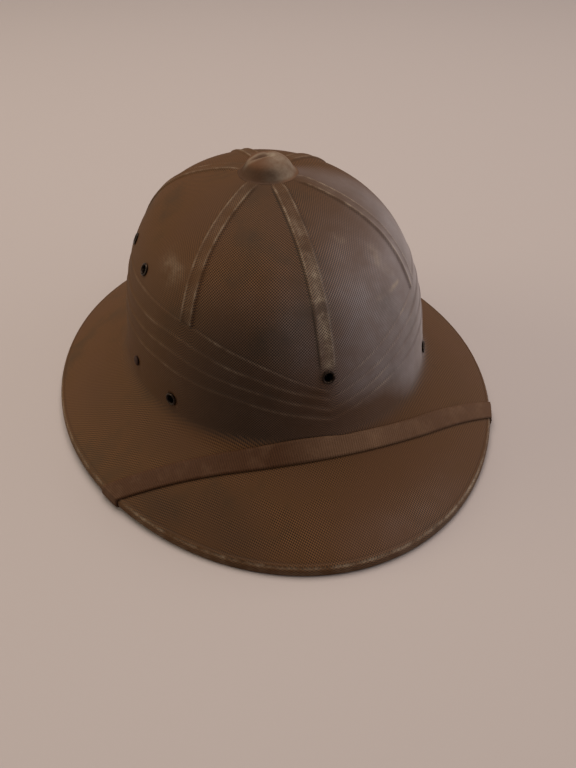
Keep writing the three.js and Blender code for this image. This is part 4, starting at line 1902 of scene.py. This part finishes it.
@dataclass
class Studio:
    """Pale floor, soft light and the camera."""

    floor_size: float = 12.0
    sky_colour: str = "#efe6df"
    sky_strength: float = 0.26
    aim: tuple[float, float, float] = (0.0, 0.0, 60.0)
    lamps: tuple[Softbox, ...] = (
        Softbox("window_right", 75.0, 6.0, 1.6, 2.6, 0.8, 16.0, "#f3efee"),
        Softbox("ceiling_back", 170.0, 76.0, 1.8, 1.6, 1.6, 34.0, "#fff1e4"),
        Softbox("room_left", -110.0, 18.0, 1.9, 1.2, 1.2, 14.0, "#fff0cc"),
    )
    eye: tuple[float, float, float] = (-110.69, -364.99, 308.90)
    azimuth: float = -18.61
    elevation: float = 39.94
    roll: float = 0.295
    focal_px: float = 743.18
    long_side_px: float = 768.0
    sensor_mm: float = 36.0
    nearest: float = 0.01

    def floor(self) -> None:
        """Lay the plain floor that the helmet stands on."""
        half = self.floor_size / MM / 2
        corners = np.array([(-half, -half, 0), (half, -half, 0), (half, half, 0), (-half, half, 0)])
        ground = plain_mesh("floor", corners, [[0, 1, 2, 3]])
        ground.data.materials.append(MattPaper().material())

    def sky(self) -> None:
        """Fill the room with even light."""
        world = bpy.data.worlds.new("room_light")
        world.use_nodes = True
        back = world.node_tree.nodes["Background"]
        back.inputs["Color"].default_value = linear(self.sky_colour)
        back.inputs["Strength"].default_value = self.sky_strength
        bpy.context.scene.world = world

    def camera(self) -> None:
        """Set the camera at the photograph's place and angle."""
        data = bpy.data.cameras.new("camera")
        data.sensor_width = self.sensor_mm
        data.lens = self.focal_px / self.long_side_px * self.sensor_mm
        data.clip_start = self.nearest
        azimuth, elevation, roll = (math.radians(x) for x in (self.azimuth, self.elevation, self.roll))
        back = direction(azimuth, elevation)
        level = Vector((math.cos(azimuth), math.sin(azimuth), 0))
        right = level * math.cos(roll) + back.cross(level) * math.sin(roll)
        axes = Matrix((right, back.cross(right), back)).transposed().to_4x4()
        camera = bpy.data.objects.new("camera", data)
        camera.matrix_world = Matrix.Translation(Vector(self.eye) * MM) @ axes
        bpy.context.scene.collection.objects.link(camera)
        bpy.context.scene.camera = camera

    def build(self) -> None:
        """Set the floor, the light and the camera."""
        self.floor()
        self.sky()
        for lamp in self.lamps:
            lamp.build(Vector(self.aim) * MM)
        self.camera()
        bpy.context.scene.view_settings.view_transform = "Standard"


EYELETS = WallFittings(
    "eyelets", "eyelet", 2.95,
    (
        Fitting("eyelet_front", 0.0, 73.2),
        Fitting("eyelet_right_low", -57.7, 47.5),
        Fitting("eyelet_right_fore", -81.5, 102.0),
        Fitting("eyelet_right_aft", -104.0, 102.0),
        Fitting("eyelet_left_low", 57.7, 47.5),
        Fitting("eyelet_left_fore", 96.0, 102.0),
        Fitting("eyelet_left_aft", 118.5, 102.0),
    ),
    (
        (2.3, -3.6), (3.3, -3.55), (3.5, -3.4), (3.5, -3.0), (2.7, -2.9), (2.7, 0.3), (3.4, 0.3),
        (3.55, 0.45), (3.5, 0.68), (3.3, 0.86), (3.0, 0.97), (2.75, 0.93), (2.5, 0.72), (2.35, 0.4),
        (2.3, 0.1),
    ),
    hollow=True,
)
RIVETS = WallFittings(
    "strap_rivets", "rivet", 1.6,
    (
        Fitting("strap_rivet_right", -79.8, 51.0),
        Fitting("strap_rivet_left", 79.8, 51.0),
    ),
    (
        (0.6, -5.0), (1.6, -4.9), (2.5, -4.6), (2.9, -4.25), (2.85, -4.0), (1.3, -4.0), (1.3, 0.4),
        (2.8, 0.4), (2.92, 0.6), (2.7, 0.95), (2.2, 1.22), (1.4, 1.38), (0.6, 1.42),
    ),
    hollow=False,
)
BLACKENED_BRASS = DarkMetal("blackened_brass", "#251b15", "#8a7564", 0.42, 0.65)
LACQUERED_STEEL = DarkMetal("red_brown_lacquered_steel", "#2c150d", "#3d2115", 0.75, 0.0)
SCUFFS = (
    Scuff((0.4, 132.0), (0.4, 118.0), 3.0, 0.4),
    Scuff((0.4, 118.0), (0.4, 98.0), 3.0, 0.7),
    Scuff((0.0, 107.0), (0.0, 102.0), 3.5, 1.0),
    Scuff((0.4, 98.0), (0.4, 80.0), 3.0, 0.8),
    Scuff((26.2, 100.2), (30.5, 100.0), 1.0, 0.9),
    Scuff((33.5, 99.8), (41.4, 100.3), 1.0, 1.0),
    Scuff((35.8, 117.2), (34.6, 112.6), 3.0, 0.3),
    Scuff((36.0, 108.5), (40.0, 106.5), 3.0, 0.25),
    Scuff((19.0, 127.2), (22.4, 124.8), 2.0, 0.2),
    Scuff((-66.0, 112.0), (-63.0, 110.0), 6.0, 0.25),
)


def main() -> None:
    """Build the helmet's pieces and the studio."""
    logging.basicConfig(level=logging.INFO, format="%(message)s")
    crown = Crown()
    brim = Brim(crown)
    shell = HelmetShell(crown, brim, ClothWear(crown, brim.foot, SCUFFS))
    wall = shell.build()
    shell.bore(wall, (EYELETS, RIVETS), CottonTwill().material())
    hand_over(wall, "cloth", ["shell"])
    ChinStrap(shell).build(WovenWebbing().material())
    VentButton(crown).build(RubbedCloth().material())
    EYELETS.build(shell, BLACKENED_BRASS.material())
    RIVETS.build(shell, LACQUERED_STEEL.material())
    Studio().build()


if __name__ == "__main__":
    main()
